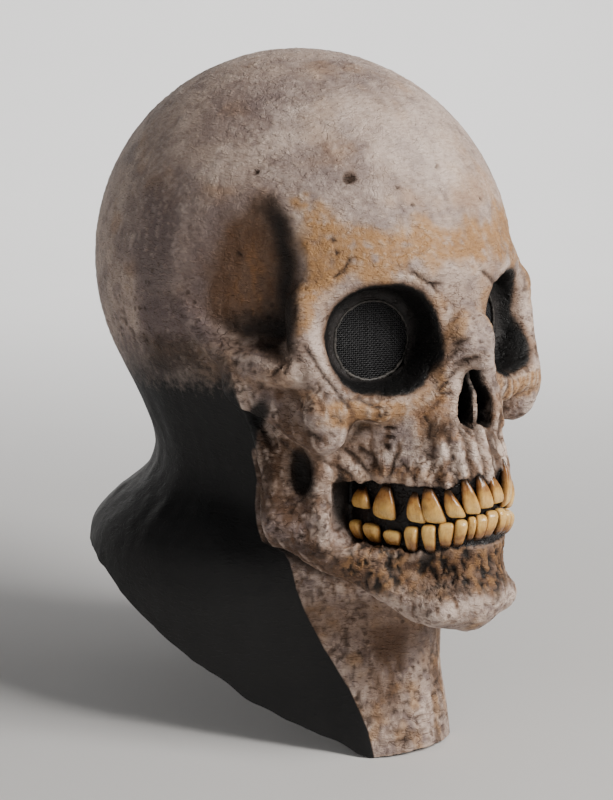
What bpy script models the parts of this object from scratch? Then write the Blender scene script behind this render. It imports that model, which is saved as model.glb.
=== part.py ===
"""Full head skull mask in one piece of latex, with single teeth and black mesh in the eye holes.

The figures are millimetres until a mesh is made, then metres. The origin is the inside of the
crown, where the mask rests on a head. +Z is up, the face looks along -Y and the mask's own left
side is +X. The form is a field of distances: negative in the latex, positive in the air. It is
built from rounded masses and bars, and most of it is the same on both sides, so x is folded.
"""
import math

import bmesh
import bpy
import numpy as np

# Driving dimensions
WALL = 3.0
VAULT_CENTRE = (0.0, 0.0, -102.4)
VAULT_RADII = (94.0, 117.5, 105.4)
SOCKET_CENTRE = (39.5, -106.0, -124.0)
SOCKET_TURN = 17.0
SOCKET_DEPTH = 15.0
EYE_OFFSET = (-1.6, -1.6)
EYE_HOLE_RADIUS = 19.0
EYE_MESH_RADIUS = 18.5
EYE_MESH_THICKNESS = 1.2
GUM_ARCH = (35.0, 59.0, -137.0)
UPPER_BONE_ARCH = (36.5, 60.5, -138.5)
LOWER_BONE_ARCH = (36.3, 60.0, -138.0)
TOOTH_GAP = 0.5
TOOTH_DEPTH = 4.6
SAMPLE_STEP = 2.0
SKIN_TRIANGLES = 7900

# Rounded masses, half of the pairs: name, centre, radii, turn about X Y Z in degrees, blend
MASSES = (
    ("face_core", (0, -60, -168), (55, 50, 72), (0, 0, 0), 14),
    ("maxilla", (0, -84, -160), (40, 42, 34), (0, 0, 0), 10),
    ("cheekbone", (60, -91, -156), (15, 12, 20), (0, 0, -35), 8),
    ("cheek_tip", (61.5, -90, -169), (9, 8, 7.5), (0, 0, -35), 5),
    ("arch_sheet", (75, -64, -145), (7, 21, 14.5), (-14, 0, -24), 9),
    ("nose_flank", (6.5, -116, -134), (8, 12, 20), (24, 0, 0), 6),
    ("jaw_body", (38, -91, -225), (12, 32, 14), (0, 0, -40), 9),
    ("chin_boss", (0, -129, -246), (18, 11, 15), (0, 0, 0), 9),
    ("chin_tubercle", (18, -125, -250), (10, 8.5, 9), (0, 0, -20), 6),
)

# Bars: name, blend, points as x, y, z, radius
BARS = (
    ("brow", 8, ((0, -112, -96, 10), (20, -109, -94, 9), (40, -97.5, -93, 8),
                 (57, -88, -101, 7), (67, -84.5, -110, 7))),
    ("outer_rim", 7, ((67, -84.5, -110, 7), (69, -86, -124, 7.5), (65, -92, -140, 7.5),
                      (56, -98, -151, 7))),
    ("lower_rim", 7, ((56, -98, -151, 7), (40, -106, -155.5, 6.5), (24, -111, -148, 6))),
    ("nose_side", 6, ((14, -110, -104, 6), (13, -112, -122, 5.5), (11, -119, -138, 5.5),
                      (14, -121, -152, 5), (15.5, -122, -164, 5.5))),
    ("nose_bridge", 6, ((0, -110, -104, 8), (0, -119, -120, 7.5), (0, -130, -134, 6),
                        (0, -132.5, -138.5, 4.5))),
    ("nose_spine", 4, ((0, -120, -168, 6), (0, -127, -167, 3.5))),
    ("arch_top", 6, ((74, -82, -138, 7), (79, -68, -137, 6.5), (80, -56, -138, 6.5),
                     (82, -42, -132, 6), (87, -24, -116, 4))),
    ("arch_low", 7, ((75, -52, -148, 6), (70, -66, -156, 8), (66, -80, -163, 9))),
    ("ramus_back", 5, ((67.4, -49, -161, 5.5), (65.4, -56, -179, 6), (65.4, -61, -194, 6),
                       (65.4, -60, -208, 6.5), (64, -63, -215, 7.5))),
    ("coronoid", 4, ((60, -78, -168, 5), (56.5, -82, -182, 4), (54.5, -84, -200, 5),
                     (52, -86, -212, 8))),
    ("jaw_border", 8, ((62, -65, -214, 8), (54, -77, -221, 8), (41, -92, -232, 9),
                       (22, -114, -249, 10), (0, -121, -255, 11))),
)

# Hollows: name, centre, radii, turn, blend
HOLLOWS = (
    ("temple", (87, -60, -96), (15, 31, 46), (10, 0, -34), 4),
    ("temple_front", (79, -72, -113), (14, 13, 22), (8, 0, -27), 5),
)
SMALL_HOLLOWS = (
    ("ramus_window", (64, -76, -188), (8, 6.5, 11.5), (0, 0, -21), 2),
    ("under_cheek", (50, -99, -183), (13, 9, 9), (0, 0, -30), 4),
    ("mouth_corner", (57, -91, -200), (6, 6, 9), (0, 0, -30), 3),
)
RAMUS_NOTCH = ((77, -48, -153, 3.5), (73, -55, -163, 5), (70, -62, -173, 4), (68, -68, -181, 2))

# Plan of the neck at a height: z, back circle's y and radius, front circle's y and radius
NECK = (
    (-140, 2, 66, -44, 58),
    (-180, 6, 66, -45, 56),
    (-200, 9, 67.5, -46, 54),
    (-212, 12, 73, -47, 51),
    (-224, 16, 85, -49, 47),
    (-236, 19, 94, -53, 41),
    (-250, 21, 96.5, -56, 37),
    (-275, 23, 92, -58, 34),
    (-300, 25, 87, -59, 33.5),
    (-320, 25, 86, -59.5, 36),
    (-345, 25, 85, -59, 39),
)

# Height of the lower rim along the mask: y, z
RIM = ((-140, -331), (-97, -331), (-92, -334), (-83, -334), (-75, -329), (-55, -321), (-35, -310),
       (-23, -298.5), (-9, -287), (7, -275), (21, -266.5), (29, -259.5), (39, -253.5),
       (54, -248.5), (70, -247.5), (130, -247.5))

# Teeth of the mask's right side: row, place along the arch in degrees, width, root z, edge z
TEETH = (
    ("upper", 6.4, 6.6, -188.8, -202.6),
    ("upper", 17.0, 6.8, -189.4, -204.2),
    ("upper", 27.7, 7.8, -193.0, -206.3),
    ("upper", 38.9, 8.8, -192.8, -208.9),
    ("upper", 49.6, 7.6, -196.3, -209.2),
    ("upper", 67.4, 11.2, -195.9, -210.2),
    ("upper", 80.2, 9.6, -198.0, -207.4),
    ("lower", 2.2, 5.4, -217.0, -204.9),
    ("lower", 10.3, 4.4, -217.0, -206.4),
    ("lower", 17.0, 3.8, -217.5, -207.4),
    ("lower", 23.9, 4.7, -219.1, -208.3),
    ("lower", 32.6, 6.0, -220.4, -210.2),
    ("lower", 42.2, 6.0, -222.4, -211.4),
    ("lower", 51.3, 6.4, -222.4, -212.0),
    ("lower", 61.0, 8.0, -222.0, -213.4),
    ("lower", 72.0, 8.8, -222.6, -213.0),
    ("lower", 82.4, 7.0, -222.6, -212.6),
)
# Teeth of the mask's left side, in the same columns
TEETH_LEFT = (
    ("upper", 5.4, 6.6, -188.8, -202.6),
    ("upper", 16.0, 6.8, -188.6, -203.6),
    ("upper", 26.4, 7.2, -190.6, -206.0),
    ("upper", 37.4, 8.6, -192.8, -208.6),
    ("upper", 48.4, 8.0, -195.4, -209.2),
    ("upper", 58.4, 8.0, -196.0, -209.4),
    ("upper", 69.4, 9.8, -196.6, -210.0),
    ("upper", 81.2, 9.2, -198.0, -207.6),
    ("lower", 7.0, 5.2, -216.6, -204.6),
    ("lower", 14.8, 4.6, -217.2, -206.8),
    ("lower", 22.2, 4.8, -218.4, -208.2),
    ("lower", 30.6, 5.8, -220.0, -209.8),
    ("lower", 39.6, 6.0, -221.6, -211.0),
    ("lower", 48.6, 6.4, -222.6, -211.8),
    ("lower", 58.4, 7.8, -222.4, -212.8),
    ("lower", 69.6, 8.8, -222.6, -213.0),
    ("lower", 80.8, 7.8, -222.6, -212.6),
)
# Outline of a tooth from its edge to its root: height, width, depth, all as shares
TOOTH_PROFILE = (
    (0.00, 0.80, 0.60),
    (0.12, 0.96, 0.88),
    (0.45, 1.00, 1.00),
    (0.76, 0.74, 0.86),
    (1.00, 0.30, 0.42),
)
# Section of a tooth: across, outward, as shares of its half width and its depth
TOOTH_SECTION = ((-0.90, 0.0), (-1.0, 0.48), (-0.74, 0.87), (-0.25, 1.0),
                 (0.25, 1.0), (0.74, 0.87), (1.0, 0.48), (0.90, 0.0))

# Materials: base colour, roughness
COLOURS = {
    "skin": ((0.62, 0.54, 0.46), 0.6),
    "tooth": ((0.72, 0.48, 0.17), 0.35),
    "eye_mesh": ((0.02, 0.02, 0.02), 0.8),
}


def join(a, b, width):
    """Two fields as one body, filled in over a width where they meet."""
    h = np.clip(0.5 + 0.5 * (b - a) / width, 0, 1)
    return b + (a - b) * h - width * h * (1 - h)


def carve(a, b, width):
    """Field a without field b, with the edge rounded over a width."""
    return -join(-a, b, width)


def turned(p, centre, turn):
    """Points as seen from a centre that is turned about X, then Y, then Z."""
    x, y, z = (p - np.asarray(centre, float)).T
    about_x, about_y, about_z = (-math.radians(angle) for angle in turn)
    c, s = math.cos(about_z), math.sin(about_z)
    x, y = c * x - s * y, s * x + c * y
    c, s = math.cos(about_y), math.sin(about_y)
    x, z = c * x + s * z, c * z - s * x
    c, s = math.cos(about_x), math.sin(about_x)
    y, z = c * y - s * z, s * y + c * z
    return np.stack([x, y, z], 1)


def ellipsoid(p, centre, radii, turn=(0, 0, 0)):
    q = turned(p, centre, turn)
    radii = np.asarray(radii, float)
    near = np.linalg.norm(q / radii, axis=1)
    slope = np.linalg.norm(q / radii**2, axis=1)
    return near * (near - 1) / np.maximum(slope, 1e-9)


def bar(p, points):
    """A chain of tapered round bars."""
    best = np.full(len(p), 1e9)
    for start, end in zip(points[:-1], points[1:]):
        start, end = np.asarray(start, float), np.asarray(end, float)
        along = end[:3] - start[:3]
        q = p - start[:3]
        t = np.clip(q @ along / (along @ along), 0, 1)
        radius = start[3] + (end[3] - start[3]) * t
        best = np.minimum(best, np.linalg.norm(q - t[:, None] * along, axis=1) - radius)
    return best


def plate(p, centre, half, turn, rounding):
    """A flat block with rounded edges."""
    q = np.abs(turned(p, centre, turn)) - (np.asarray(half, float) - rounding)
    return np.linalg.norm(np.maximum(q, 0), axis=1) + np.minimum(q.max(1), 0) - rounding


def table_at(table, z):
    """The columns of a table at heights z, with smooth steps between its rows."""
    rows = np.asarray(sorted(table), float)
    i = np.clip(np.searchsorted(rows[:, 0], z) - 1, 0, len(rows) - 2)
    slopes = np.gradient(rows[:, 1:], rows[:, 0], axis=0)
    step = rows[i + 1, 0] - rows[i, 0]
    t = np.clip((z - rows[i, 0]) / step, 0, 1)[:, None]
    step = step[:, None]
    return ((2 * t**3 - 3 * t**2 + 1) * rows[i, 1:] + (t**3 - 2 * t**2 + t) * step * slopes[i]
            + (3 * t**2 - 2 * t**3) * rows[i + 1, 1:] + (t**3 - t**2) * step * slopes[i + 1])


def neck_wall(x, y, z):
    """Across the neck: at each height two circles, one behind the other, and their tangents."""
    back_y, back_r, front_y, front_r = table_at(NECK, z).T
    length = back_y - front_y
    lean = np.clip((front_r - back_r) / length, -0.98, 0.98)
    side = np.sqrt(1 - lean**2)
    y = y - front_y
    along = side * y - lean * x
    front = np.hypot(x, y) - front_r
    back = np.hypot(x, y - length) - back_r
    flank = side * x + lean * y - front_r
    return np.where(along < 0, front, np.where(along > side * length, back, flank))


def neck(p):
    """Neck and bib, as a distance that allows for how far the wall slopes."""
    x, y, z = p.T
    slope = (neck_wall(x, y, z + 1) - neck_wall(x, y, z - 1)) / 2
    wall = neck_wall(x, y, z) / np.sqrt(1 + slope**2)
    return -join(-wall, -(z + 135), 12)


def arch_plan(p, arch):
    """Distance in plan to an oval whose front half is a dental arch."""
    half_width, depth, front = arch
    y = p[:, 1] - (front + depth)
    near = np.hypot(p[:, 0] / half_width, y / depth)
    slope = np.hypot(p[:, 0] / half_width**2, y / depth**2)
    return near * (near - 1) / np.maximum(slope, 1e-9)


def band(p, plan, low, high, rounding):
    """The part of a plan shape between two heights, with rounded edges."""
    u = plan + rounding
    v = np.abs(p[:, 2] - (low + high) / 2) - (high - low) / 2 + rounding
    return np.minimum(np.maximum(u, v), 0) + np.hypot(np.maximum(u, 0), np.maximum(v, 0)) - rounding


def socket_axes():
    """Directions across and out of the left eye socket."""
    turn = math.radians(SOCKET_TURN)
    across = np.array((math.cos(turn), math.sin(turn), 0.0))
    outward = np.array((math.sin(turn), -math.cos(turn), 0.0))
    return across, outward


def socket(p):
    """A cup with a flat floor, wider at its mouth."""
    across, outward = socket_axes()
    q = p - np.asarray(SOCKET_CENTRE)
    u, v, w = q @ across, q[:, 2], q @ outward
    flare = np.clip((w + SOCKET_DEPTH) / SOCKET_DEPTH, 0, 1.6)
    half_u, half_v = 21.5 + 3.5 * flare, 21.0 + 2.5 * flare
    ring = ((np.abs(u) / half_u) ** 2.3 + (np.abs(v) / half_v) ** 2.3) ** (1 / 2.3)
    return -join(-(ring - 1) * 22, w + SOCKET_DEPTH, 5)


def nose_hole(p):
    """A pear shaped recess, parted by a thin wall."""
    flat = p * (1, 0, 1)
    low = ellipsoid(flat, (5.0, 0, -158), (6.2, 1e3, 8.0))
    top = ellipsoid(flat, (1.2, 0, -150.5), (4.4, 1e3, 12))
    recess = np.maximum(join(low, top, 6), p[:, 1] + 106)
    wall = np.maximum(np.abs(p[:, 0]) - 1.5, -(p[:, 1] + 127))
    return np.maximum(recess, -wall)


def mouth(p):
    """The band around the gum arch that the teeth stand in, lower towards its ends."""
    half = 17.5 - 0.3 * np.clip(p[:, 1] + 87, 0, 30)
    height = np.abs(p[:, 2] + 204 + 0.07 * (p[:, 1] + 138)) - half
    ahead = (p[:, 1] + 80) * 0.9 + np.maximum(p[:, 0] - 46, 0) * 0.8
    return np.maximum(np.maximum(-arch_plan(p, GUM_ARCH), height), ahead)


def folded(p):
    return np.stack([np.abs(p[:, 0]), p[:, 1], p[:, 2]], 1)


def outside(p):
    """The outer form without its lower rim."""
    p = folded(p)
    f = join(ellipsoid(p, VAULT_CENTRE, VAULT_RADII), neck(p), 26)
    for _, centre, radii, turn, blend in HOLLOWS:
        fading = blend + 0.35 * np.clip(p[:, 1] + 66, 0, 40)
        f = carve(f, ellipsoid(p, centre, radii, turn), fading)
    for _, centre, radii, turn, blend in MASSES:
        f = join(f, ellipsoid(p, centre, radii, turn), blend)
    f = join(f, plate(p, (56.2, -70, -197), (8.5, 15, 29), (0, 0, -21), 4), 5)
    leaning = arch_plan(p, UPPER_BONE_ARCH) + 0.3 * np.maximum(p[:, 2] + 186, 0)
    f = join(f, band(p, leaning, -214, -150, 5), 8)
    leaning = arch_plan(p, LOWER_BONE_ARCH) + 0.2 * np.maximum(-p[:, 2] - 224, 0)
    f = join(f, band(p, leaning, -246, -194, 5), 8)
    for _, blend, points in BARS:
        f = join(f, bar(p, points), blend)
    f = carve(f, mouth(p), 3)
    f = carve(f, socket(p), 3)
    f = carve(f, nose_hole(p), 2.5)
    f = carve(f, bar(p, RAMUS_NOTCH), 2)
    for _, centre, radii, turn, blend in SMALL_HOLLOWS:
        f = carve(f, ellipsoid(p, centre, radii, turn), blend)
    return f


def cavity(p, outer):
    """The hollow for the head and neck, never nearer to the outside than the wall."""
    p = folded(p)
    centre, radii = np.asarray(VAULT_CENTRE), np.asarray(VAULT_RADII)
    inner = join(ellipsoid(p, centre, radii - WALL), neck(p) + WALL, 20)
    inner = join(inner, ellipsoid(p, (0, -62, -166), (56, 52, 70)), 14)
    return -join(-inner, -(outer + WALL), 4)


def shell(p):
    """The latex: the outer form less its cavity, cut off at the lower rim."""
    outer = outside(p)
    wall = carve(outer, cavity(p, outer), 0.6)
    low_edge = np.interp(p[:, 1], [y for y, _ in RIM], [z for _, z in RIM])
    return -join(-wall, -(low_edge - p[:, 2]) * 0.8, 1.5)


def grid_of(count):
    return np.stack(np.meshgrid(*[np.arange(count)] * 3, indexing="ij"), -1).reshape(-1, 3)


def sampled(field, low, high, step):
    """Values of a field on a grid, worked out only in the blocks that its surface may cross."""
    low = np.asarray(low, float)
    cells = np.ceil((np.asarray(high) - low) / step / 16).astype(int) * 16
    shape = cells + 1
    blocks = np.stack(np.meshgrid(*[np.arange(n // 16) for n in cells], indexing="ij"), -1)
    blocks = blocks.reshape(-1, 3)
    near = np.abs(field(low + (blocks + 0.5) * 16 * step)) < 16 * step * 1.3
    blocks = (blocks[near][:, None] * 4 + grid_of(4)).reshape(-1, 3)
    near = np.abs(field(low + (blocks + 0.5) * 4 * step)) < 4 * step * 1.4
    corners = (blocks[near][:, None] * 4 + grid_of(5)).reshape(-1, 3)
    flat = np.unique(np.ravel_multi_index(corners.T, shape))
    values = np.full(shape, np.nan)
    values.ravel()[flat] = field(low + np.stack(np.unravel_index(flat, shape), 1) * step)
    return values


def without_pinches(values):
    """Sets one corner more inside wherever two inside corners of a grid square only touch."""
    for _ in range(4):
        for axes in ((0, 1), (0, 2), (1, 2)):
            plane = np.moveaxis(values, axes, (0, 1))
            inside = plane < 0
            a, b, c, d = inside[:-1, :-1], inside[1:, :-1], inside[:-1, 1:], inside[1:, 1:]
            for i, j, k in np.argwhere((a == d) & (b == c) & (a != b)):
                corners = [(i, j, k), (i + 1, j, k), (i, j + 1, k), (i + 1, j + 1, k)]
                outer = [corner for corner in corners if plane[corner] >= 0]
                if len(outer) == 2:
                    plane[min(outer, key=lambda corner: plane[corner])] = -0.01
    return values


def surface(values, low, step):
    """Points and four-sided faces of the zero level, one point in each cell that it crosses."""
    inside = values < 0
    known = ~np.isnan(values)
    shape = values.shape
    corners = grid_of(2)
    views = [tuple(slice(c, n - 1 + c) for c, n in zip(corner, shape)) for corner in corners]
    count = sum(inside[view].astype(int) for view in views)
    active = (count > 0) & (count < 8) & np.logical_and.reduce([known[view] for view in views])
    cells = np.argwhere(active)
    index = np.full(active.shape, -1)
    index[active] = np.arange(len(cells))
    at_corner = np.stack([values[tuple((cells + corner).T)] for corner in corners], 1)
    total, hits = np.zeros((len(cells), 3)), np.zeros(len(cells))
    for a in range(8):
        for b in range(a + 1, 8):
            if np.abs(corners[a] - corners[b]).sum() != 1:
                continue
            crosses = (at_corner[:, a] < 0) != (at_corner[:, b] < 0)
            span = np.where(crosses, at_corner[:, a] - at_corner[:, b], 1)
            t = (at_corner[:, a] / span)[:, None]
            total += np.where(crosses[:, None], corners[a] + (corners[b] - corners[a]) * t, 0)
            hits += crosses
    points = low + (cells + total / hits[:, None]) * step
    faces = []
    for axis, (u, v) in enumerate(((1, 2), (2, 0), (0, 1))):
        before = tuple(slice(0, -1) if i == axis else slice(None) for i in range(3))
        after = tuple(slice(1, None) if i == axis else slice(None) for i in range(3))
        crossing = (inside[before] != inside[after]) & known[before] & known[after]
        edges = np.argwhere(crossing)
        room = (edges[:, u] > 0) & (edges[:, v] > 0)
        room &= (edges[:, u] < shape[u] - 1) & (edges[:, v] < shape[v] - 1)
        edges = edges[room]
        step_u, step_v = np.eye(3, dtype=int)[u], np.eye(3, dtype=int)[v]
        around = (edges - step_u - step_v, edges - step_v, edges, edges - step_u)
        quads = np.stack([index[tuple(cell.T)] for cell in around], 1)
        backward = ~inside[before][tuple(edges.T)]
        quads[backward] = quads[backward][:, ::-1]
        faces.append(quads)
    faces = np.concatenate(faces)
    return points, faces[(faces >= 0).all(1)]


def settled(field, points, step):
    """Points drawn onto the zero level along the slope of the field."""
    reach = step * 0.25
    value = field(points)
    slope = []
    for axis in np.eye(3):
        slope.append((field(points + axis * reach) - field(points - axis * reach)) / (2 * reach))
    slope = np.stack(slope, 1)
    steep = np.maximum((slope**2).sum(1), 0.2)
    return points - np.clip(value / steep, -step * 0.5, step * 0.5)[:, None] * slope


def material(name, kind):
    colour, roughness = COLOURS[kind]
    made = bpy.data.materials.new(name)
    made.use_nodes = True
    shader = made.node_tree.nodes["Principled BSDF"]
    shader.inputs["Base Color"].default_value = (*colour, 1.0)
    shader.inputs["Roughness"].default_value = roughness
    return made


def add_object(name, points, faces, kind):
    """A mesh object from points in millimetres."""
    mesh = bpy.data.meshes.new(name)
    mesh.from_pydata((np.asarray(points) / 1000).tolist(), [], [list(face) for face in faces])
    mesh.validate()
    mesh.materials.append(material(name + "_material", kind))
    made = bpy.data.objects.new(name, mesh)
    bpy.context.scene.collection.objects.link(made)
    return made


def keep_largest(made):
    """Drops every loose scrap but the largest piece."""
    work = bmesh.new()
    work.from_mesh(made.data)
    work.verts.ensure_lookup_table()
    seen, pieces = set(), []
    for start in work.verts:
        if start.index in seen:
            continue
        piece, front = [], [start]
        seen.add(start.index)
        while front:
            vert = front.pop()
            piece.append(vert)
            for edge in vert.link_edges:
                other = edge.other_vert(vert)
                if other.index not in seen:
                    seen.add(other.index)
                    front.append(other)
        pieces.append(piece)
    pieces.sort(key=len)
    for piece in pieces[:-1]:
        bmesh.ops.delete(work, geom=piece, context="VERTS")
    work.to_mesh(made.data)
    work.free()


def make_skin():
    low, high = (-125.0, -160.0, -345.0), (125.0, 132.0, 10.0)
    values = without_pinches(sampled(shell, low, high, SAMPLE_STEP))
    points, faces = surface(values, low, SAMPLE_STEP)
    points = settled(shell, points, SAMPLE_STEP)
    skin = add_object("latex_skin", points, faces, "skin")
    keep_largest(skin)
    fewer = skin.modifiers.new("fewer_faces", "DECIMATE")
    fewer.ratio = SKIN_TRIANGLES / (2 * len(skin.data.polygons))
    fewer.use_collapse_triangulate = True
    return skin


def disc(name, radius, low, high, mirror, kind, sides=32):
    """A short cylinder on the axis of an eye socket, from low to high along it."""
    across, outward = socket_axes()
    points = []
    for w in (low, high):
        for i in range(sides):
            angle = 2 * math.pi * i / sides
            u, v = radius * math.cos(angle) + EYE_OFFSET[0], radius * math.sin(angle) + EYE_OFFSET[1]
            spot = np.asarray(SOCKET_CENTRE) + outward * w + across * u + np.array((0, 0, v))
            points.append(spot * (mirror, 1, 1))
    faces = [list(range(sides))[::-1], list(range(sides, 2 * sides))]
    for i in range(sides):
        j = (i + 1) % sides
        faces.append([i, j, sides + j, sides + i])
    return add_object(name, points, outward_faces(points, faces), kind)


def outward_faces(points, faces):
    """The faces, all turned over if their body came out with a negative volume."""
    points = np.asarray(points)
    volume = 0.0
    for face in faces:
        for b, c in zip(face[1:-1], face[2:]):
            volume += np.dot(points[face[0]], np.cross(points[b], points[c]))
    return faces if volume > 0 else [list(face)[::-1] for face in faces]


def make_eye(side, mirror, skin):
    """The mesh of one eye, and the hole for it through the socket floor."""
    floor = -SOCKET_DEPTH
    cutter = disc("eye_cutter_" + side, EYE_HOLE_RADIUS, floor - 14, floor + 8, mirror, "eye_mesh")
    cutter.hide_render = True
    cutter.display_type = "WIRE"
    hole = skin.modifiers.new("eye_hole_" + side, "BOOLEAN")
    hole.operation = "DIFFERENCE"
    hole.solver = "EXACT"
    hole.object = cutter
    disc("eye_mesh_" + side, EYE_MESH_RADIUS, floor - 0.6 - EYE_MESH_THICKNESS, floor - 0.6,
         mirror, "eye_mesh")


def gum_spot(angle):
    """The place on the gum wall at an angle along the arch, and its outward direction."""
    half_width, depth, front = GUM_ARCH
    t = math.radians(angle)
    spot = np.array((half_width * math.sin(t), front + depth * (1 - math.cos(t)), 0.0))
    outward = np.array((math.sin(t) / half_width, -math.cos(t) / depth, 0.0))
    return spot, outward / np.linalg.norm(outward)


def make_tooth(name, mirror, row, angle, width, root_z, edge_z):
    spot, outward = gum_spot(angle)
    across = np.array((-outward[1], outward[0], 0.0))
    points = []
    for height, wide, deep in TOOTH_PROFILE:
        z = edge_z + (root_z - edge_z) * height
        for u, w in TOOTH_SECTION:
            point = spot + across * u * wide * width / 2
            point = point + outward * (TOOTH_GAP + w * deep * TOOTH_DEPTH)
            points.append((point[0] * mirror, point[1], z))
    sides, rings = len(TOOTH_SECTION), len(TOOTH_PROFILE)
    faces = [list(range(sides)), list(range(sides * (rings - 1), sides * rings))[::-1]]
    for ring in range(rings - 1):
        for i in range(sides):
            j = (i + 1) % sides
            a, b = ring * sides, (ring + 1) * sides
            faces.append([a + j, a + i, b + i, b + j])
    return add_object(name, points, outward_faces(points, faces), "tooth")


def make_teeth():
    for side, mirror, table in (("right", -1, TEETH), ("left", 1, TEETH_LEFT)):
        count = {"upper": 0, "lower": 0}
        for row, angle, width, root_z, edge_z in table:
            count[row] += 1
            name = "tooth_{}_{}_{}".format(row, side, count[row])
            make_tooth(name, mirror, row, angle, width, root_z, edge_z)


def main():
    for item in list(bpy.data.objects):
        bpy.data.objects.remove(item, do_unlink=True)
    skin = make_skin()
    for side, mirror in (("right", -1), ("left", 1)):
        make_eye(side, mirror, skin)
    make_teeth()


main()
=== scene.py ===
"""Look of the full head skull mask, in millimetres until a mesh is made, in the CAD's own frame.

The origin is the inside of the crown, +Z is up, the face looks along -Y, and the mask's own left
side is +X. The latex is one closed skin, meshed from a field of distances that is negative in
the latex. The grid it is sampled on is finest at the face. The painting is worked out for each
point of the mesh, from where the point lies and from how hollow the form is around it.
"""
import math

import bmesh
import bpy
import numpy as np
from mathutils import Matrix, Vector


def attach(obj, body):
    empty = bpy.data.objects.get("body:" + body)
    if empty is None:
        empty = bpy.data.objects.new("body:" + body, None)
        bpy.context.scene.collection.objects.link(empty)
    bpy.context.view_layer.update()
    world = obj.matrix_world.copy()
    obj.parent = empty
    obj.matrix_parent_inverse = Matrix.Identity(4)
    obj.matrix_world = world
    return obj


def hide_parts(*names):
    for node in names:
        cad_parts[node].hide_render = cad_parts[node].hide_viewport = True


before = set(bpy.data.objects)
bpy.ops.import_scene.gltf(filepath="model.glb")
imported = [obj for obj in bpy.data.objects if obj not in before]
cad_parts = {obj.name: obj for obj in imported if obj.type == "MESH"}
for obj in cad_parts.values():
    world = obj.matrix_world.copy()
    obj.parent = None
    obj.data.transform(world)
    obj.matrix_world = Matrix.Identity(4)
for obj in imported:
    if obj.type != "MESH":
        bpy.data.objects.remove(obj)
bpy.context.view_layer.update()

# Driving dimensions, the same as the CAD's
WALL = 3.0
VAULT_CENTRE = (0.0, 0.0, -102.4)
VAULT_RADII = (94.0, 117.5, 105.4)
SOCKET_CENTRE = (39.5, -106.0, -124.0)
SOCKET_TURN = 17.0
SOCKET_DEPTH = 15.0
EYE_OFFSET = (-1.6, -1.6)
EYE_HOLE_RADIUS = 19.0
EYE_MESH_RADIUS = 18.5
GUM_ARCH = (35.0, 59.0, -137.0)
UPPER_BONE_ARCH = (36.5, 60.5, -138.5)
LOWER_BONE_ARCH = (36.3, 60.0, -138.0)
TOOTH_GAP = 0.5
TOOTH_DEPTH = 4.6

# Rounded masses, half of the pairs: name, centre, radii, turn about X Y Z in degrees, blend
MASSES = (
    ("face_core", (0, -60, -168), (55, 50, 72), (0, 0, 0), 14),
    ("maxilla", (0, -84, -160), (40, 42, 34), (0, 0, 0), 10),
    ("cheekbone", (60, -91, -156), (15, 12, 20), (0, 0, -35), 8),
    ("cheek_tip", (61.5, -90, -169), (9, 8, 7.5), (0, 0, -35), 5),
    ("arch_sheet", (75, -64, -145), (7, 21, 14.5), (-14, 0, -24), 9),
    ("nose_flank", (6.5, -116, -134), (8, 12, 20), (24, 0, 0), 6),
    ("jaw_body", (38, -91, -225), (12, 32, 14), (0, 0, -40), 9),
    ("chin_boss", (0, -129, -246), (18, 11, 15), (0, 0, 0), 9),
    ("chin_tubercle", (18, -125, -250), (10, 8.5, 9), (0, 0, -20), 6),
)

# Bars: name, blend, points as x, y, z, radius
BARS = (
    ("brow", 8, ((0, -112, -96, 10), (20, -109, -94, 9), (40, -97.5, -93, 8),
                 (57, -88, -101, 7), (67, -84.5, -110, 7))),
    ("outer_rim", 7, ((67, -84.5, -110, 7), (69, -86, -124, 7.5), (65, -92, -140, 7.5),
                      (56, -98, -151, 7))),
    ("lower_rim", 7, ((56, -98, -151, 7), (40, -106, -155.5, 6.5), (24, -111, -148, 6))),
    ("nose_side", 6, ((14, -110, -104, 6), (13, -112, -122, 5.5), (11, -119, -138, 5.5),
                      (14, -121, -152, 5), (15.5, -122, -164, 5.5))),
    ("nose_bridge", 6, ((0, -110, -104, 8), (0, -119, -120, 7.5), (0, -130, -134, 6),
                        (0, -132.5, -138.5, 4.5))),
    ("nose_spine", 4, ((0, -120, -168, 6), (0, -127, -167, 3.5))),
    ("arch_top", 6, ((74, -82, -138, 7), (79, -68, -137, 6.5), (80, -56, -138, 6.5),
                     (82, -42, -132, 6), (87, -24, -116, 4))),
    ("arch_low", 7, ((75, -52, -148, 6), (70, -66, -156, 8), (66, -80, -163, 9))),
    ("ramus_back", 5, ((67.4, -49, -161, 5.5), (65.4, -56, -179, 6), (65.4, -61, -194, 6),
                       (65.4, -60, -208, 6.5), (64, -63, -215, 7.5))),
    ("coronoid", 4, ((60, -78, -168, 5), (56.5, -82, -182, 4), (54.5, -84, -200, 5),
                     (52, -86, -212, 8))),
    ("jaw_border", 8, ((62, -65, -214, 8), (54, -77, -221, 8), (41, -92, -232, 9),
                       (22, -114, -249, 10), (0, -121, -255, 11))),
)

# Hollows: name, centre, radii, turn, blend
HOLLOWS = (
    ("temple", (87, -60, -96), (15, 31, 46), (10, 0, -34), 4),
    ("temple_front", (79, -72, -113), (14, 13, 22), (8, 0, -27), 5),
)
SMALL_HOLLOWS = (
    ("ramus_window", (64, -76, -188), (8, 6.5, 11.5), (0, 0, -21), 2),
    ("under_cheek", (50, -99, -183), (13, 9, 9), (0, 0, -30), 4),
    ("mouth_corner", (57, -91, -200), (6, 6, 9), (0, 0, -30), 3),
)
RAMUS_NOTCH = ((77, -48, -153, 3.5), (73, -55, -163, 5), (70, -62, -173, 4), (68, -68, -181, 2))

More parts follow.
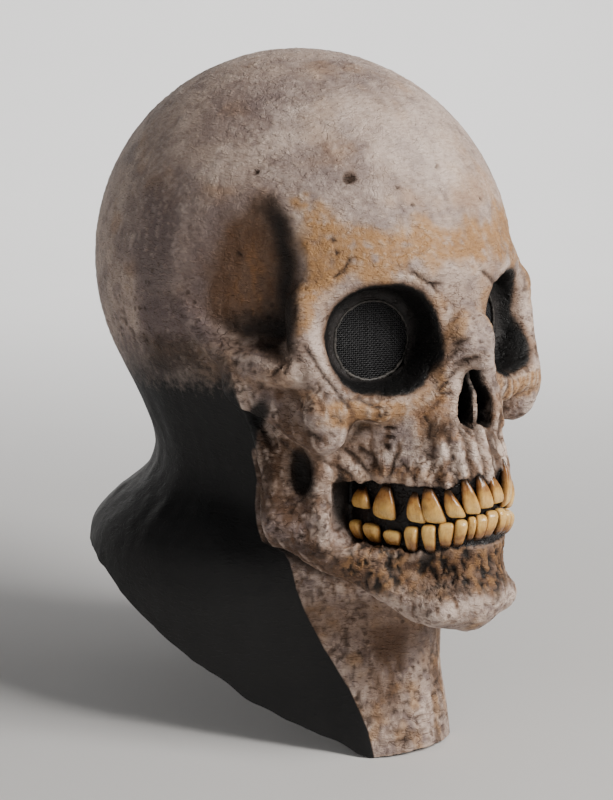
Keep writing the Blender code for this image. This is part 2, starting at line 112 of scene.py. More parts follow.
# Plan of the neck at a height: z, back circle's y and radius, front circle's y and radius
NECK = (
    (-140, 2, 66, -44, 58),
    (-180, 6, 66, -45, 56),
    (-200, 9, 67.5, -46, 54),
    (-212, 12, 73, -47, 51),
    (-224, 16, 85, -49, 47),
    (-236, 19, 94, -53, 41),
    (-250, 21, 96.5, -56, 37),
    (-275, 23, 92, -58, 34),
    (-300, 25, 87, -59, 33.5),
    (-320, 25, 86, -59.5, 36),
    (-345, 25, 85, -59, 39),
)

# Height of the lower rim along the mask: y, z
RIM = ((-140, -331), (-97, -331), (-92, -334), (-83, -334), (-75, -329), (-55, -321), (-35, -310),
       (-23, -298.5), (-9, -287), (7, -275), (21, -266.5), (29, -259.5), (39, -253.5),
       (54, -248.5), (70, -247.5), (130, -247.5))
EYE_WEAVE_PITCH = 1.0
# How far the eye holes sit below the CAD's
WEAVE_DROP = 2.0
TORN_EDGE_RADIUS = 18.0
# How far below the rim the outer form ends before the rim is cut, and where the hollow ends
RIM_SURPLUS = 6.0
HOLLOW_END_Z = -352.0
PIXELS_PER_MM = 2.05
SOCKET_SQUARENESS = 2.3
# The oval that angles along the teeth are read on: half width, depth, y of its middle
ANGLE_OVAL = (40, 64, -78)
# The studio floor in metres: radii of its flat rings, and of its curve up to the backdrop
STUDIO_RINGS = (0.5, 1.0, 1.5)
STUDIO_CURVE = 1.6

# Teeth as finished: node, angle and z at the edge, angle and z at the root, width
TEETH_SHAPED = (
    ("tooth_upper_right_7", 78.6, -206.7, 79.6, -196.8, 10.6),
    ("tooth_upper_right_6", 65.6, -209.7, 66.0, -194.0, 12.2),
    ("tooth_upper_right_5", 48.0, -209.2, 50.4, -196.0, 8.8),
    ("tooth_upper_right_4", 37.8, -208.7, 43.2, -192.5, 10.4),
    ("tooth_upper_right_3", 25.6, -206.0, 31.6, -193.6, 8.8),
    ("tooth_upper_right_2", 15.6, -204.4, 21.2, -188.4, 8.0),
    ("tooth_upper_right_1", 6.0, -202.4, 10.8, -186.8, 7.8),
    ("tooth_upper_left_1", -4.2, -201.2, 1.2, -187.0, 7.4),
    ("tooth_upper_left_2", -15.4, -204.0, -17.6, -182.0, 7.8),
    ("tooth_upper_left_3", -26.0, -206.0, -30.6, -190.0, 8.2),
    ("tooth_upper_left_4", -37.0, -208.6, -41.6, -192.4, 9.6),
    ("tooth_upper_left_5", -48.0, -209.2, -51.0, -195.2, 8.6),
    ("tooth_upper_left_6", -58.2, -209.4, -60.2, -196.0, 8.8),
    ("tooth_upper_left_7", -69.2, -210.0, -70.0, -195.6, 10.8),
    ("tooth_upper_left_8", -81.2, -207.4, -81.6, -197.4, 9.8),
    ("tooth_lower_right_10", 82.4, -213.4, 80.2, -223.0, 6.6),
    ("tooth_lower_right_9", 73.0, -213.4, 71.2, -222.6, 9.2),
    ("tooth_lower_right_8", 61.2, -214.8, 61.0, -222.2, 9.2),
    ("tooth_lower_right_7", 51.0, -211.6, 50.9, -224.0, 6.8),
    ("tooth_lower_right_6", 41.8, -210.0, 41.0, -223.4, 6.9),
    ("tooth_lower_right_5", 31.9, -208.6, 32.6, -220.8, 7.2),
    ("tooth_lower_right_4", 22.8, -207.2, 24.9, -220.0, 6.2),
    ("tooth_lower_right_3", 16.2, -206.0, 17.2, -217.6, 4.0),
    ("tooth_lower_right_2", 9.6, -205.6, 11.0, -217.6, 5.6),
    ("tooth_lower_right_1", 1.0, -204.4, 4.6, -217.0, 6.4),
    ("tooth_lower_left_1", -8.2, -204.4, -8.6, -216.8, 5.6),
    ("tooth_lower_left_2", -15.4, -206.4, -16.0, -217.6, 5.0),
    ("tooth_lower_left_3", -22.8, -207.8, -23.4, -219.0, 5.4),
    ("tooth_lower_left_4", -31.0, -209.2, -31.4, -220.6, 6.6),
    ("tooth_lower_left_5", -40.2, -210.6, -40.4, -222.4, 6.8),
    ("tooth_lower_left_6", -49.2, -211.6, -49.0, -223.0, 6.8),
    ("tooth_lower_left_7", -58.8, -213.2, -58.6, -222.8, 7.8),
    ("tooth_lower_left_8", -69.8, -213.4, -69.2, -222.8, 8.8),
    ("tooth_lower_left_9", -80.8, -213.0, -80.0, -222.8, 7.8),
)
# Half of a tooth's outline from its edge to inside the gum: height, width, depth
UPPER_OUTLINE = ((-0.015, 0.70, 0.26), (0.0, 0.86, 0.50), (0.05, 0.95, 0.74), (0.15, 1.00, 0.92),
                 (0.32, 0.97, 1.00), (0.50, 0.87, 0.98), (0.68, 0.71, 0.88), (0.84, 0.52, 0.72),
                 (0.95, 0.38, 0.56), (1.03, 0.26, 0.36))
LOWER_OUTLINE = ((-0.02, 0.66, 0.30), (0.0, 0.84, 0.56), (0.06, 0.95, 0.80), (0.17, 1.00, 0.96),
                 (0.34, 0.98, 1.00), (0.52, 0.90, 0.95), (0.70, 0.80, 0.86), (0.86, 0.70, 0.74),
                 (0.96, 0.60, 0.60), (1.03, 0.48, 0.42))

# Colours of the teeth, as red, green and blue from 0 to 255 on a screen
TOOTH_GOLD = (212, 164, 86)
TOOTH_CREAM = (238, 198, 122)
TOOTH_BROWN = (126, 80, 40)
TOOTH_DARK = (40, 27, 18)

# Grid of the fine mesh: finest at the face, coarser away from it
FACE_FOCUS = (0.0, -96.0, -168.0)
FINE_SCALE = 1.38
SCALE_GROWTH = 5.2e-5
LINING_SHARE = 0.3

# The camera of the photograph: picture size and focal length in pixels, place in millimetres
PICTURE_SIZE = (613, 800)
FOCAL_PIXELS = 1965.0
CAMERA_AZIMUTH = -40.0
CAMERA_ELEVATION = 11.5
CAMERA_PLACE = (-628.96, -755.49, 26.14)
FLOOR_Z = -0.3345
WORLD_STRENGTH = 0.13
# Lights: name, place, aim, power, size, colour
LIGHTS = (
    ("key", (0.36, -1.35, 0.80), (0, -0.04, -0.14), 38, 0.70, (1.0, 0.97, 0.93)),
    ("side", (-1.35, -0.5, 0.3), (0, 0.0, -0.16), 0.5, 0.7, (0.95, 0.97, 1.0)),
    ("paper", (0.8, 0.9, 1.3), (2.0, 2.3, 0.0), 55, 1.0, (1.0, 1.0, 1.0)),
)

# Paints, as red, green and blue from 0 to 255 on a screen
PAINTS = {
    "bone": (190, 168, 155),
    "bone_light": (226, 206, 193),
    "bone_grey": (136, 121, 117),
    "bone_mauve": (116, 100, 98),
    "ochre": (170, 126, 80),
    "tan": (170, 122, 80),
    "brown": (92, 66, 48),
    "umber": (54, 39, 30),
    "dark": (24, 21, 20),
    "black": (12, 11, 11),
    "lining": (34, 32, 31),
    "gum": (12, 10, 10),
    "socket": (46, 42, 41),
}

# Height in millimetres of the hood's airbrushed edge, against y
HOOD_FADE = ((-60, -137), (-45, -139), (0, -143), (60, -152), (120, -158))
# Edge of the brown hollow at the temple, in the picture
TEMPLE_EDGE = ((252, 198), (272, 199), (285, 226), (292, 256), (293, 290), (290, 328), (286, 357),
               (262, 350), (236, 336), (212, 320), (201, 300), (204, 272), (212, 246), (230, 216))
# Edge of the ochre band over the brows, in the picture
BAND_EDGE = ((300, 198), (318, 204), (345, 216), (388, 224), (430, 220), (480, 236), (512, 262),
             (504, 282), (470, 264), (434, 262), (400, 274), (384, 286), (350, 284), (326, 292),
             (303, 330), (295, 300), (300, 250))
# Edge of the hood on the near side, in the picture; the hood lies below and behind it
HOOD_EDGE = ((60, 345), (100, 350), (140, 352), (180, 350), (205, 352), (222, 362), (232, 385),
             (238, 402), (246, 430), (252, 455), (257, 480), (255, 505), (257, 525), (262, 541),
             (285, 553), (290, 562), (297, 590), (305, 612), (325, 650), (350, 690), (368, 730),
             (376, 765), (380, 830))

# Stains, with painted shade and painted highlights among them: paint, strength, grain in millimetres,
# centre, radii and turn in the picture
STAINS_AND_PAINTED_LIGHT = (
    ("bone_light", 0.55, 9, (430, 140), (90, 70), 40),
    ("bone_light", 0.40, 9, (320, 120), (90, 40), -20),
    # The next two patches, grey and mauve towards the back of the skull's side, are painted shade on the
    # side turned from the light.
    ("bone_grey", 0.60, 14, (180, 250), (80, 120), 0),
    ("bone_mauve", 0.55, 9, (150, 240), (40, 100), 5),
    ("bone_mauve", 0.40, 8, (240, 110), (70, 45), -30),
    ("bone_grey", 0.45, 7, (300, 180), (60, 50), -20),
    ("ochre", 0.75, 5, (430, 385), (26, 44), 15),
    ("ochre", 0.80, 4, (365, 412), (70, 26), -6),
    ("ochre", 0.60, 4, (430, 330), (26, 60), 14),
    ("tan", 0.60, 4, (440, 420), (40, 40), 0),
    ("ochre", 0.60, 5, (455, 330), (18, 40), 20),
    ("tan", 0.70, 5, (410, 475), (90, 15), 0),
    ("tan", 0.60, 4, (350, 480), (34, 15), 0),
    ("tan", 0.55, 5, (300, 400), (50, 16), 20),
    ("bone_mauve", 0.60, 5, (285, 400), (40, 16), 25),
    # The next four thin light strips, along the top of the cheek arch, the outer and lower rims of the
    # eye and the brow, are painted highlights along these crests.
    ("bone_light", 0.60, 5, (262, 362), (46, 8), 10),
    ("bone_light", 0.65, 4, (318, 345), (12, 50), -14),
    ("bone_light", 0.75, 4, (378, 398), (58, 6), -4),
    ("bone_light", 0.75, 4, (390, 277), (60, 7), 3),
    ("bone_light", 0.75, 4, (430, 455), (80, 26), 5),
    ("bone_grey", 0.65, 5, (395, 440), (30, 18), 0),
    ("bone_grey", 0.60, 4, (462, 350), (20, 22), 20),
    ("tan", 0.60, 6, (268, 480), (16, 60), -4),
    ("bone_mauve", 0.60, 5, (290, 520), (34, 40), 0),
    # The next three patches, grey, mauve and umber low on the back of the skull's side, are painted
    # shade on the side turned from the light.
    ("bone_grey", 0.70, 12, (130, 300), (60, 110), 0),
    ("bone_mauve", 0.80, 9, (165, 320), (80, 40), 8),
    ("umber", 0.60, 7, (150, 350), (90, 30), 6),
    # The next four patches, brown and umber over the back of the jaw and under its lower edge, are
    # partly stains and partly painted shade.
    ("brown", 0.85, 5, (290, 470), (50, 85), -6),
    ("umber", 0.65, 4, (262, 470), (20, 80), -4),
    ("brown", 0.75, 5, (330, 562), (74, 24), 24),
    ("umber", 0.60, 4, (300, 548), (60, 12), 12),
    ("brown", 0.85, 4, (440, 566), (78, 22), -12),
    ("ochre", 0.60, 3, (440, 572), (66, 14), -12),
    # This light strip along the chin is a painted highlight.
    ("bone_light", 0.60, 4, (455, 610), (52, 12), -14),
    ("bone_light", 0.55, 3, (385, 578), (40, 10), 36),
    ("umber", 0.70, 3, (486, 580), (22, 9), -16),
    ("umber", 0.65, 3, (452, 592), (26, 6), -12),
    # This brown patch on the neck below the jaw is partly a stain and partly painted shade under the
    # jaw.
    ("brown", 0.60, 6, (300, 640), (30, 60), -24),
)

# Openings beside the jaw painted black: centre, radii and turn in the picture
DARK_SPOTS = (((303, 474), (15, 32), -5), ((257, 416), (13, 24), 30), ((341, 500), (13, 36), 0))

# Lines scratched or cracked into the latex: depth, width in pixels, side, points in the picture
LINES = (
    (1.1, 2.0, "right", ((411, 271), (420, 277), (430, 284), (441, 284))),
    (0.9, 1.8, "right", ((430, 284), (437, 290))),
    (0.8, 1.8, "right", ((350, 258), (343, 271), (335, 276))),
    (0.9, 2.0, "right", ((295, 306), (293, 320))),
    (1.0, 2.2, "right", ((273, 374), (284, 362))),
    (1.0, 2.2, "right", ((290, 358), (285, 374))),
    (0.8, 2.0, "right", ((304, 345), (313, 358), (323, 374), (349, 408))),
    (0.6, 1.8, "right", ((357, 398), (366, 403), (378, 408))),
    (1.1, 2.2, "right", ((308, 432), (315, 437), (321, 441))),
    (0.9, 2.0, "right", ((452, 345), (460, 342), (469, 339))),
    (0.8, 2.0, "right", ((447, 360), (455, 354))),
    (1.2, 2.2, "right", ((455, 364), (466, 360), (478, 358))),
    (1.1, 2.2, "right", ((450, 376), (458, 369), (467, 363))),
    (0.9, 2.0, "right", ((438, 389), (448, 382))),
    (0.7, 1.8, "right", ((440, 393), (452, 394))),
    (0.9, 2.0, "left", ((484, 272), (492, 279), (494, 284))),
    (1.2, 2.4, "both", ((326, 462), (338, 468), (350, 474), (358, 485))),
    (1.0, 2.2, "both", ((345, 450), (356, 457), (366, 470), (372, 480))),
    (0.9, 2.0, "both", ((360, 449), (372, 456), (380, 470))),
    (0.9, 2.0, "both", ((396, 455), (392, 470), (388, 480))),
    (0.8, 1.8, "both", ((400, 462), (408, 468), (414, 478))),
    (0.8, 1.8, "both", ((280, 440), (292, 452), (300, 458))),
    (0.9, 2.0, "both", ((452, 424), (459, 428), (462, 434))),
    (0.9, 1.8, "both", ((466, 426), (470, 434))),
    (0.8, 1.8, "both", ((424, 416), (430, 426), (428, 438))),
)

# Pits: depth, half width and half height in pixels, side, place in the picture
PITS = (
    (1.5, 8.5, 7.5, "right", (349, 178)), (0.9, 3.4, 3.0, "right", (333, 240)),
    (0.8, 2.4, 3.4, "right", (337, 253)), (0.9, 3.0, 2.6, "both", (413, 205)),
    (0.7, 2.4, 2.2, "right", (398, 188)), (0.7, 2.2, 2.2, "right", (437, 166)),
    (1.3, 8.0, 2.6, "both", (390, 428)), (1.3, 6.0, 3.0, "both", (390, 437)),
    (1.2, 4.5, 4.0, "both", (387, 447)), (0.8, 3.0, 2.6, "both", (280, 366)),
    (0.8, 2.8, 2.2, "both", (240, 254)), (0.8, 2.6, 3.6, "both", (257, 172)),
    (0.9, 3.0, 2.6, "both", (268, 520)), (0.8, 2.4, 2.2, "both", (276, 530)),
    (0.8, 2.2, 2.2, "both", (291, 512)), (0.8, 2.6, 2.2, "both", (300, 536)),
    (1.1, 3.2, 4.0, "both", (497, 594)), (1.0, 3.0, 2.6, "both", (470, 596)),
    (1.0, 3.4, 2.4, "both", (440, 600)), (0.9, 2.4, 2.2, "both", (486, 606)),
)


def join(a, b, width):
    """Two fields as one body, filled in over a width where they meet."""
    h = np.clip(0.5 + 0.5 * (b - a) / width, 0, 1)
    return b + (a - b) * h - width * h * (1 - h)


def carve(a, b, width):
    """Field a without field b, with the edge rounded over a width."""
    return -join(-a, b, width)


def turned(p, centre, turn):
    """Points as seen from a centre that is turned about X, then Y, then Z."""
    x, y, z = (p - np.asarray(centre, float)).T
    about_x, about_y, about_z = (-math.radians(angle) for angle in turn)
    c, s = math.cos(about_z), math.sin(about_z)
    x, y = c * x - s * y, s * x + c * y
    c, s = math.cos(about_y), math.sin(about_y)
    x, z = c * x + s * z, c * z - s * x
    c, s = math.cos(about_x), math.sin(about_x)
    y, z = c * y - s * z, s * y + c * z
    return np.stack([x, y, z], 1)


def ellipsoid(p, centre, radii, turn=(0, 0, 0)):
    q = turned(p, centre, turn)
    radii = np.asarray(radii, float)
    near = np.linalg.norm(q / radii, axis=1)
    slope = np.linalg.norm(q / radii**2, axis=1)
    return near * (near - 1) / np.maximum(slope, 1e-9)


def bar(p, points):
    """A chain of tapered round bars."""
    best = np.full(len(p), 1e9)
    for start, end in zip(points[:-1], points[1:]):
        start, end = np.asarray(start, float), np.asarray(end, float)
        along = end[:3] - start[:3]
        q = p - start[:3]
        t = np.clip(q @ along / (along @ along), 0, 1)
        radius = start[3] + (end[3] - start[3]) * t
        best = np.minimum(best, np.linalg.norm(q - t[:, None] * along, axis=1) - radius)
    return best


def plate(p, centre, half, turn, rounding):
    """A flat block with rounded edges."""
    q = np.abs(turned(p, centre, turn)) - (np.asarray(half, float) - rounding)
    return np.linalg.norm(np.maximum(q, 0), axis=1) + np.minimum(q.max(1), 0) - rounding


def table_at(table, z):
    """The columns of a table at heights z, with smooth steps between its rows."""
    rows = np.asarray(sorted(table), float)
    i = np.clip(np.searchsorted(rows[:, 0], z) - 1, 0, len(rows) - 2)
    slopes = np.gradient(rows[:, 1:], rows[:, 0], axis=0)
    step = rows[i + 1, 0] - rows[i, 0]
    t = np.clip((z - rows[i, 0]) / step, 0, 1)[:, None]
    step = step[:, None]
    return ((2 * t**3 - 3 * t**2 + 1) * rows[i, 1:] + (t**3 - 2 * t**2 + t) * step * slopes[i]
            + (3 * t**2 - 2 * t**3) * rows[i + 1, 1:] + (t**3 - t**2) * step * slopes[i + 1])


def neck_wall(x, y, z):
    """Across the neck: at each height two circles, one behind the other, and their tangents."""
    back_y, back_r, front_y, front_r = table_at(NECK, z).T
    length = back_y - front_y
    lean = np.clip((front_r - back_r) / length, -0.98, 0.98)
    side = np.sqrt(1 - lean**2)
    y = y - front_y
    along = side * y - lean * x
    front = np.hypot(x, y) - front_r
    back = np.hypot(x, y - length) - back_r
    flank = side * x + lean * y - front_r
    return np.where(along < 0, front, np.where(along > side * length, back, flank))


def neck(p):
    """Neck and bib, as a distance that allows for how far the wall slopes."""
    x, y, z = p.T
    slope = (neck_wall(x, y, z + 1) - neck_wall(x, y, z - 1)) / 2
    wall = neck_wall(x, y, z) / np.sqrt(1 + slope**2)
    return -join(-wall, -(z + 135), 12)


def arch_plan(p, arch):
    """Distance in plan to an oval whose front half is a dental arch."""
    half_width, depth, front = arch
    y = p[:, 1] - (front + depth)
    near = np.hypot(p[:, 0] / half_width, y / depth)
    slope = np.hypot(p[:, 0] / half_width**2, y / depth**2)
    return near * (near - 1) / np.maximum(slope, 1e-9)


def band(p, plan, low, high, rounding):
    """The part of a plan shape between two heights, with rounded edges."""
    u = plan + rounding
    v = np.abs(p[:, 2] - (low + high) / 2) - (high - low) / 2 + rounding
    return np.minimum(np.maximum(u, v), 0) + np.hypot(np.maximum(u, 0), np.maximum(v, 0)) - rounding


def socket_axes():
    """Directions across and out of the left eye socket."""
    turn = math.radians(SOCKET_TURN)
    across = np.array((math.cos(turn), math.sin(turn), 0.0))
    outward = np.array((math.sin(turn), -math.cos(turn), 0.0))
    return across, outward


def socket(p):
    """A cup with a flat floor, wider at its mouth."""
    across, outward = socket_axes()
    q = p - np.asarray(SOCKET_CENTRE)
    u, v, w = q @ across, q[:, 2], q @ outward
    flare = np.clip((w + SOCKET_DEPTH) / SOCKET_DEPTH, 0, 1.6)
    half_u, half_v = 21.5 + 3.5 * flare, 21.0 + 2.5 * flare
    power = SOCKET_SQUARENESS
    ring = ((np.abs(u) / half_u) ** power + (np.abs(v) / half_v) ** power) ** (1 / power)
    return -join(-(ring - 1) * 22, w + SOCKET_DEPTH, 5)


def nose_hole(p):
    """A pear shaped recess, parted by a thin wall."""
    flat = p * (1, 0, 1)
    low = ellipsoid(flat, (5.0, 0, -158), (6.2, 1e3, 8.0))
    top = ellipsoid(flat, (1.2, 0, -150.5), (4.4, 1e3, 12))
    recess = np.maximum(join(low, top, 6), p[:, 1] + 106)
    wall = np.maximum(np.abs(p[:, 0]) - 1.5, -(p[:, 1] + 127))
    return np.maximum(recess, -wall)


def arch_angle(p):
    """Angle along the dental arch in degrees, 0 at the front."""
    half_width, depth, middle = ANGLE_OVAL
    return np.degrees(np.arctan2(p[:, 0] / half_width, -(p[:, 1] - middle) / depth))


def root_edges(angle):
    """Heights between which the gums show, arched round the root of each tooth."""
    top, low = np.full(len(angle), -1e9), np.full(len(angle), 1e9)
    for name, _, _, root_angle, root_z, width in TEETH_SHAPED:
        if "_right_" in name:
            away = (angle - root_angle) * 0.85 / (width * 0.5)
            if "_upper_" in name:
                top = np.maximum(top, root_z + 0.2 - np.minimum(away**2 * 2.6, 6))
            else:
                low = np.minimum(low, root_z - 0.4 + np.minimum(away**2 * 1.8, 5))
    return top, low


def mouth(p):
    """The band around the gum arch that the teeth stand in, narrower towards its ends."""
    top, low = root_edges(arch_angle(folded(p)))
    sink = 0.35 * np.clip(p[:, 1] + 87, 0, 30)
    height = np.maximum(p[:, 2] - top + sink, low + sink - p[:, 2])
    ahead = (p[:, 1] + 80) * 0.9 + np.maximum(p[:, 0] - 46, 0) * 0.8
    return np.maximum(np.maximum(-arch_plan(p, GUM_ARCH), height), ahead)


def folded(p):
    return np.stack([np.abs(p[:, 0]), p[:, 1], p[:, 2]], 1)


def outside(p):
    """The outer form without its lower rim."""
    p = folded(p)
    f = join(ellipsoid(p, VAULT_CENTRE, VAULT_RADII), neck(p), 26)
    for _, centre, radii, turn, blend in HOLLOWS:
        fading = blend + 0.35 * np.clip(p[:, 1] + 66, 0, 40)
        f = carve(f, ellipsoid(p, centre, radii, turn), fading)
    for _, centre, radii, turn, blend in MASSES:
        f = join(f, ellipsoid(p, centre, radii, turn), blend)
    f = join(f, plate(p, (56.2, -70, -197), (8.5, 15, 29), (0, 0, -21), 4), 5)
    leaning = arch_plan(p, UPPER_BONE_ARCH) + 0.3 * np.maximum(p[:, 2] + 186, 0)
    f = join(f, band(p, leaning, -214, -150, 5), 8)
    leaning = arch_plan(p, LOWER_BONE_ARCH) + 0.2 * np.maximum(-p[:, 2] - 224, 0)
    f = join(f, band(p, leaning, -246, -194, 5), 8)
    for _, blend, points in BARS:
        f = join(f, bar(p, points), blend)
    f = carve(f, mouth(p), 1.6)
    f = carve(f, socket(p), 3)
    f = carve(f, nose_hole(p), 2.5)
    f = carve(f, bar(p, RAMUS_NOTCH), 2)
    for _, centre, radii, turn, blend in SMALL_HOLLOWS:
        f = carve(f, ellipsoid(p, centre, radii, turn), blend)
    return f


def cavity(p, outer):
    """The hollow for the head and neck, never nearer to the outside than the wall."""
    p = folded(p)
    centre, radii = np.asarray(VAULT_CENTRE), np.asarray(VAULT_RADII)
    inner = join(ellipsoid(p, centre, radii - WALL), neck(p) + WALL, 20)
    inner = join(inner, ellipsoid(p, (0, -62, -166), (56, 52, 70)), 14)
    return -join(-inner, -(outer + WALL), 4)


def without_pinches(values):
    """Sets one corner more inside wherever two inside corners of a grid square only touch."""
    for _ in range(4):
        for axes in ((0, 1), (0, 2), (1, 2)):
            plane = np.moveaxis(values, axes, (0, 1))
            inside = plane < 0
            a, b, c, d = inside[:-1, :-1], inside[1:, :-1], inside[:-1, 1:], inside[1:, 1:]
            for i, j, k in np.argwhere((a == d) & (b == c) & (a != b)):
                corners = [(i, j, k), (i + 1, j, k), (i, j + 1, k), (i + 1, j + 1, k)]
                outer = [corner for corner in corners if plane[corner] >= 0]
                if len(outer) == 2:
                    plane[min(outer, key=lambda corner: plane[corner])] = -0.01
    return values


def surface(values, low, step):
    """Points and four-sided faces of the zero level, one point in each cell that it crosses."""
    inside = values < 0
    known = ~np.isnan(values)
    shape = values.shape
    corners = grid_of(2)
    views = [tuple(slice(c, n - 1 + c) for c, n in zip(corner, shape)) for corner in corners]
    count = sum(inside[view].astype(int) for view in views)
    active = (count > 0) & (count < 8) & np.logical_and.reduce([known[view] for view in views])
    cells = np.argwhere(active)
    index = np.full(active.shape, -1)
    index[active] = np.arange(len(cells))
    at_corner = np.stack([values[tuple((cells + corner).T)] for corner in corners], 1)
    total, hits = np.zeros((len(cells), 3)), np.zeros(len(cells))
    for a in range(8):
        for b in range(a + 1, 8):
            if np.abs(corners[a] - corners[b]).sum() != 1:
                continue
            crosses = (at_corner[:, a] < 0) != (at_corner[:, b] < 0)
            span = np.where(crosses, at_corner[:, a] - at_corner[:, b], 1)
            t = (at_corner[:, a] / span)[:, None]
            total += np.where(crosses[:, None], corners[a] + (corners[b] - corners[a]) * t, 0)
            hits += crosses
    points = low + (cells + total / hits[:, None]) * step
    faces = []
    for axis, (u, v) in enumerate(((1, 2), (2, 0), (0, 1))):
        before = tuple(slice(0, -1) if i == axis else slice(None) for i in range(3))
        after = tuple(slice(1, None) if i == axis else slice(None) for i in range(3))
        crossing = (inside[before] != inside[after]) & known[before] & known[after]
        edges = np.argwhere(crossing)
        room = (edges[:, u] > 0) & (edges[:, v] > 0)
        room &= (edges[:, u] < shape[u] - 1) & (edges[:, v] < shape[v] - 1)
        edges = edges[room]
        step_u, step_v = np.eye(3, dtype=int)[u], np.eye(3, dtype=int)[v]
        around = (edges - step_u - step_v, edges - step_v, edges, edges - step_u)
        quads = np.stack([index[tuple(cell.T)] for cell in around], 1)
        backward = ~inside[before][tuple(edges.T)]
        quads[backward] = quads[backward][:, ::-1]
        faces.append(quads)
    faces = np.concatenate(faces)
    return points, faces[(faces >= 0).all(1)]


def settled(field, points, step):
    """Points drawn onto the zero level along the slope of the field."""
    reach = step * 0.25
    value = field(points)
    slope = []
    for axis in np.eye(3):
        slope.append((field(points + axis * reach) - field(points - axis * reach)) / (2 * reach))
    slope = np.stack(slope, 1)
    steep = np.maximum((slope**2).sum(1), 0.2)
    return points - np.clip(value / steep, -step * 0.5, step * 0.5)[:, None] * slope


def placed(q):
    """Points of the sampling grid as millimetres in the CAD's frame."""
    return np.asarray(FACE_FOCUS) + q * (FINE_SCALE + SCALE_GROWTH * (q**2).sum(1))[:, None]


def cell_size(q):
    """The longest side in millimetres of a grid cell of one unit."""
    return FINE_SCALE + 3 * SCALE_GROWTH * (q**2).sum(1)


def grid_of(count):
    return np.stack(np.meshgrid(*[np.arange(count)] * 3, indexing="ij"), -1).reshape(-1, 3)


def sampled(field, low, cells, step, place, size):
    """Values of a field on a grid, worked out only in the blocks that its surface may cross."""
    low = np.asarray(low, float)
    shape = np.asarray(cells) + 1
    blocks = np.stack(np.meshgrid(*[np.arange(n // 16) for n in cells], indexing="ij"), -1)
    blocks = blocks.reshape(-1, 3)
    for side, parts in ((16, 4), (4, None)):
        centres = low + (blocks + 0.5) * side * step
        near = np.abs(field(place(centres))) < side * step * size(centres) * 1.1
        blocks = blocks[near]
        if parts:
            blocks = (blocks[:, None] * parts + grid_of(parts)).reshape(-1, 3)
    corners = (blocks[:, None] * 4 + grid_of(5)).reshape(-1, 3)
    flat = np.unique(np.ravel_multi_index(corners.T, shape))
    values = np.full(shape, np.nan)
    places = np.stack(np.unravel_index(flat, shape), 1) * step + low
    values.ravel()[flat] = field(place(places))
    return values


def smooth(low, high, value):
    """0 below low, 1 above high, and an even slope between; low may be the greater."""
    t = np.clip((value - low) / (high - low), 0, 1)
    return t * t * (3 - 2 * t)


def lattice(cell, seed):
    """An even random number from 0 to 1 for each whole-numbered cell."""
    h = cell[:, 0] * 374761393 + cell[:, 1] * 668265263 + cell[:, 2] * 2147483647 + seed * 974634777
    h = (h ^ (h >> 13)) * 1274126177
    h = (h ^ (h >> 16)) & 0xFFFFFF
    return h / float(0xFFFFFF)


def noise(p, size, seed=0):
    """Smooth random values from 0 to 1; size is the length of a grain, or one for each axis."""
    q = p / np.asarray(size, float) + seed * 17.3
    cell = np.floor(q).astype(np.int64)
    t = q - cell
    t = t * t * (3 - 2 * t)
    total = np.zeros(len(p))
    for corner in grid_of(2):
        weight = np.prod(np.where(corner == 1, t, 1 - t), axis=1)
        total += weight * lattice(cell + corner, seed)
    return total


def rough_noise(p, size, seed=0, octaves=3):
    total, weight, reach = np.zeros(len(p)), 0.0, 1.0
    for octave in range(octaves):
        total += reach * noise(p, np.asarray(size) / 2.03**octave, seed + octave)
        weight += reach
        reach *= 0.55
    return total / weight


def grooves(p, size, seed=0):
    """1 along thin winding lines, 0 between them."""
    return 1 - np.abs(2 * rough_noise(p, size, seed, 2) - 1) * 2.2


def picture(p):
    """Pixels of the photograph that points fall on."""
    azimuth, elevation = math.radians(CAMERA_AZIMUTH), math.radians(CAMERA_ELEVATION)
    ahead = np.array((-math.sin(azimuth) * math.cos(elevation),
                      math.cos(azimuth) * math.cos(elevation), -math.sin(elevation)))
    right = np.array((math.cos(azimuth), math.sin(azimuth), 0.0))
    up = np.cross(right, ahead)
    q = p - np.asarray(CAMERA_PLACE)
    distance = q @ ahead
    u = PICTURE_SIZE[0] / 2 + FOCAL_PIXELS * (q @ right) / distance
    v = PICTURE_SIZE[1] / 2 - FOCAL_PIXELS * (q @ up) / distance
    return u, v


def right_side(p):
    """Points folded onto the mask's right side, which the photograph shows."""
    return np.stack([-np.abs(p[:, 0]), p[:, 1], p[:, 2]], 1)


def blob(u, v, centre, radii, turn=0.0, edge=0.5):
    """1 in a turned oval of the picture, fading to 0 over its outer part."""
    a = math.radians(turn)
    x = (u - centre[0]) * math.cos(a) + (v - centre[1]) * math.sin(a)
    y = (v - centre[1]) * math.cos(a) - (u - centre[0]) * math.sin(a)
    return smooth(1.0, 1.0 - edge, np.hypot(x / radii[0], y / radii[1]))


def stroke(u, v, points, width):
    """1 on a line through points of the picture, fading to 0 at a width from it."""
    best = np.full(len(u), 1e9)
    for (x0, y0), (x1, y1) in zip(points[:-1], points[1:]):
        dx, dy = x1 - x0, y1 - y0
        t = np.clip(((u - x0) * dx + (v - y0) * dy) / (dx * dx + dy * dy), 0, 1)
        best = np.minimum(best, np.hypot(u - x0 - t * dx, v - y0 - t * dy))
    return np.exp(-((best / width) ** 2))


def outline_distance(u, v, corners):
    """Signed distance in pixels to an outline in the picture, above 0 inside it."""
    best = np.full(len(u), 1e9)
    sign = np.zeros(len(u), bool)
    for (x0, y0), (x1, y1) in zip(corners, corners[1:] + corners[:1]):
        if y0 != y1:
            crosses = (y0 > v) != (y1 > v)
            sign ^= crosses & (u < (x1 - x0) * (v - y0) / (y1 - y0) + x0)
        dx, dy = x1 - x0, y1 - y0
        t = np.clip(((u - x0) * dx + (v - y0) * dy) / (dx * dx + dy * dy), 0, 1)
        best = np.minimum(best, np.hypot(u - x0 - t * dx, v - y0 - t * dy))
    return np.where(sign, best, -best)


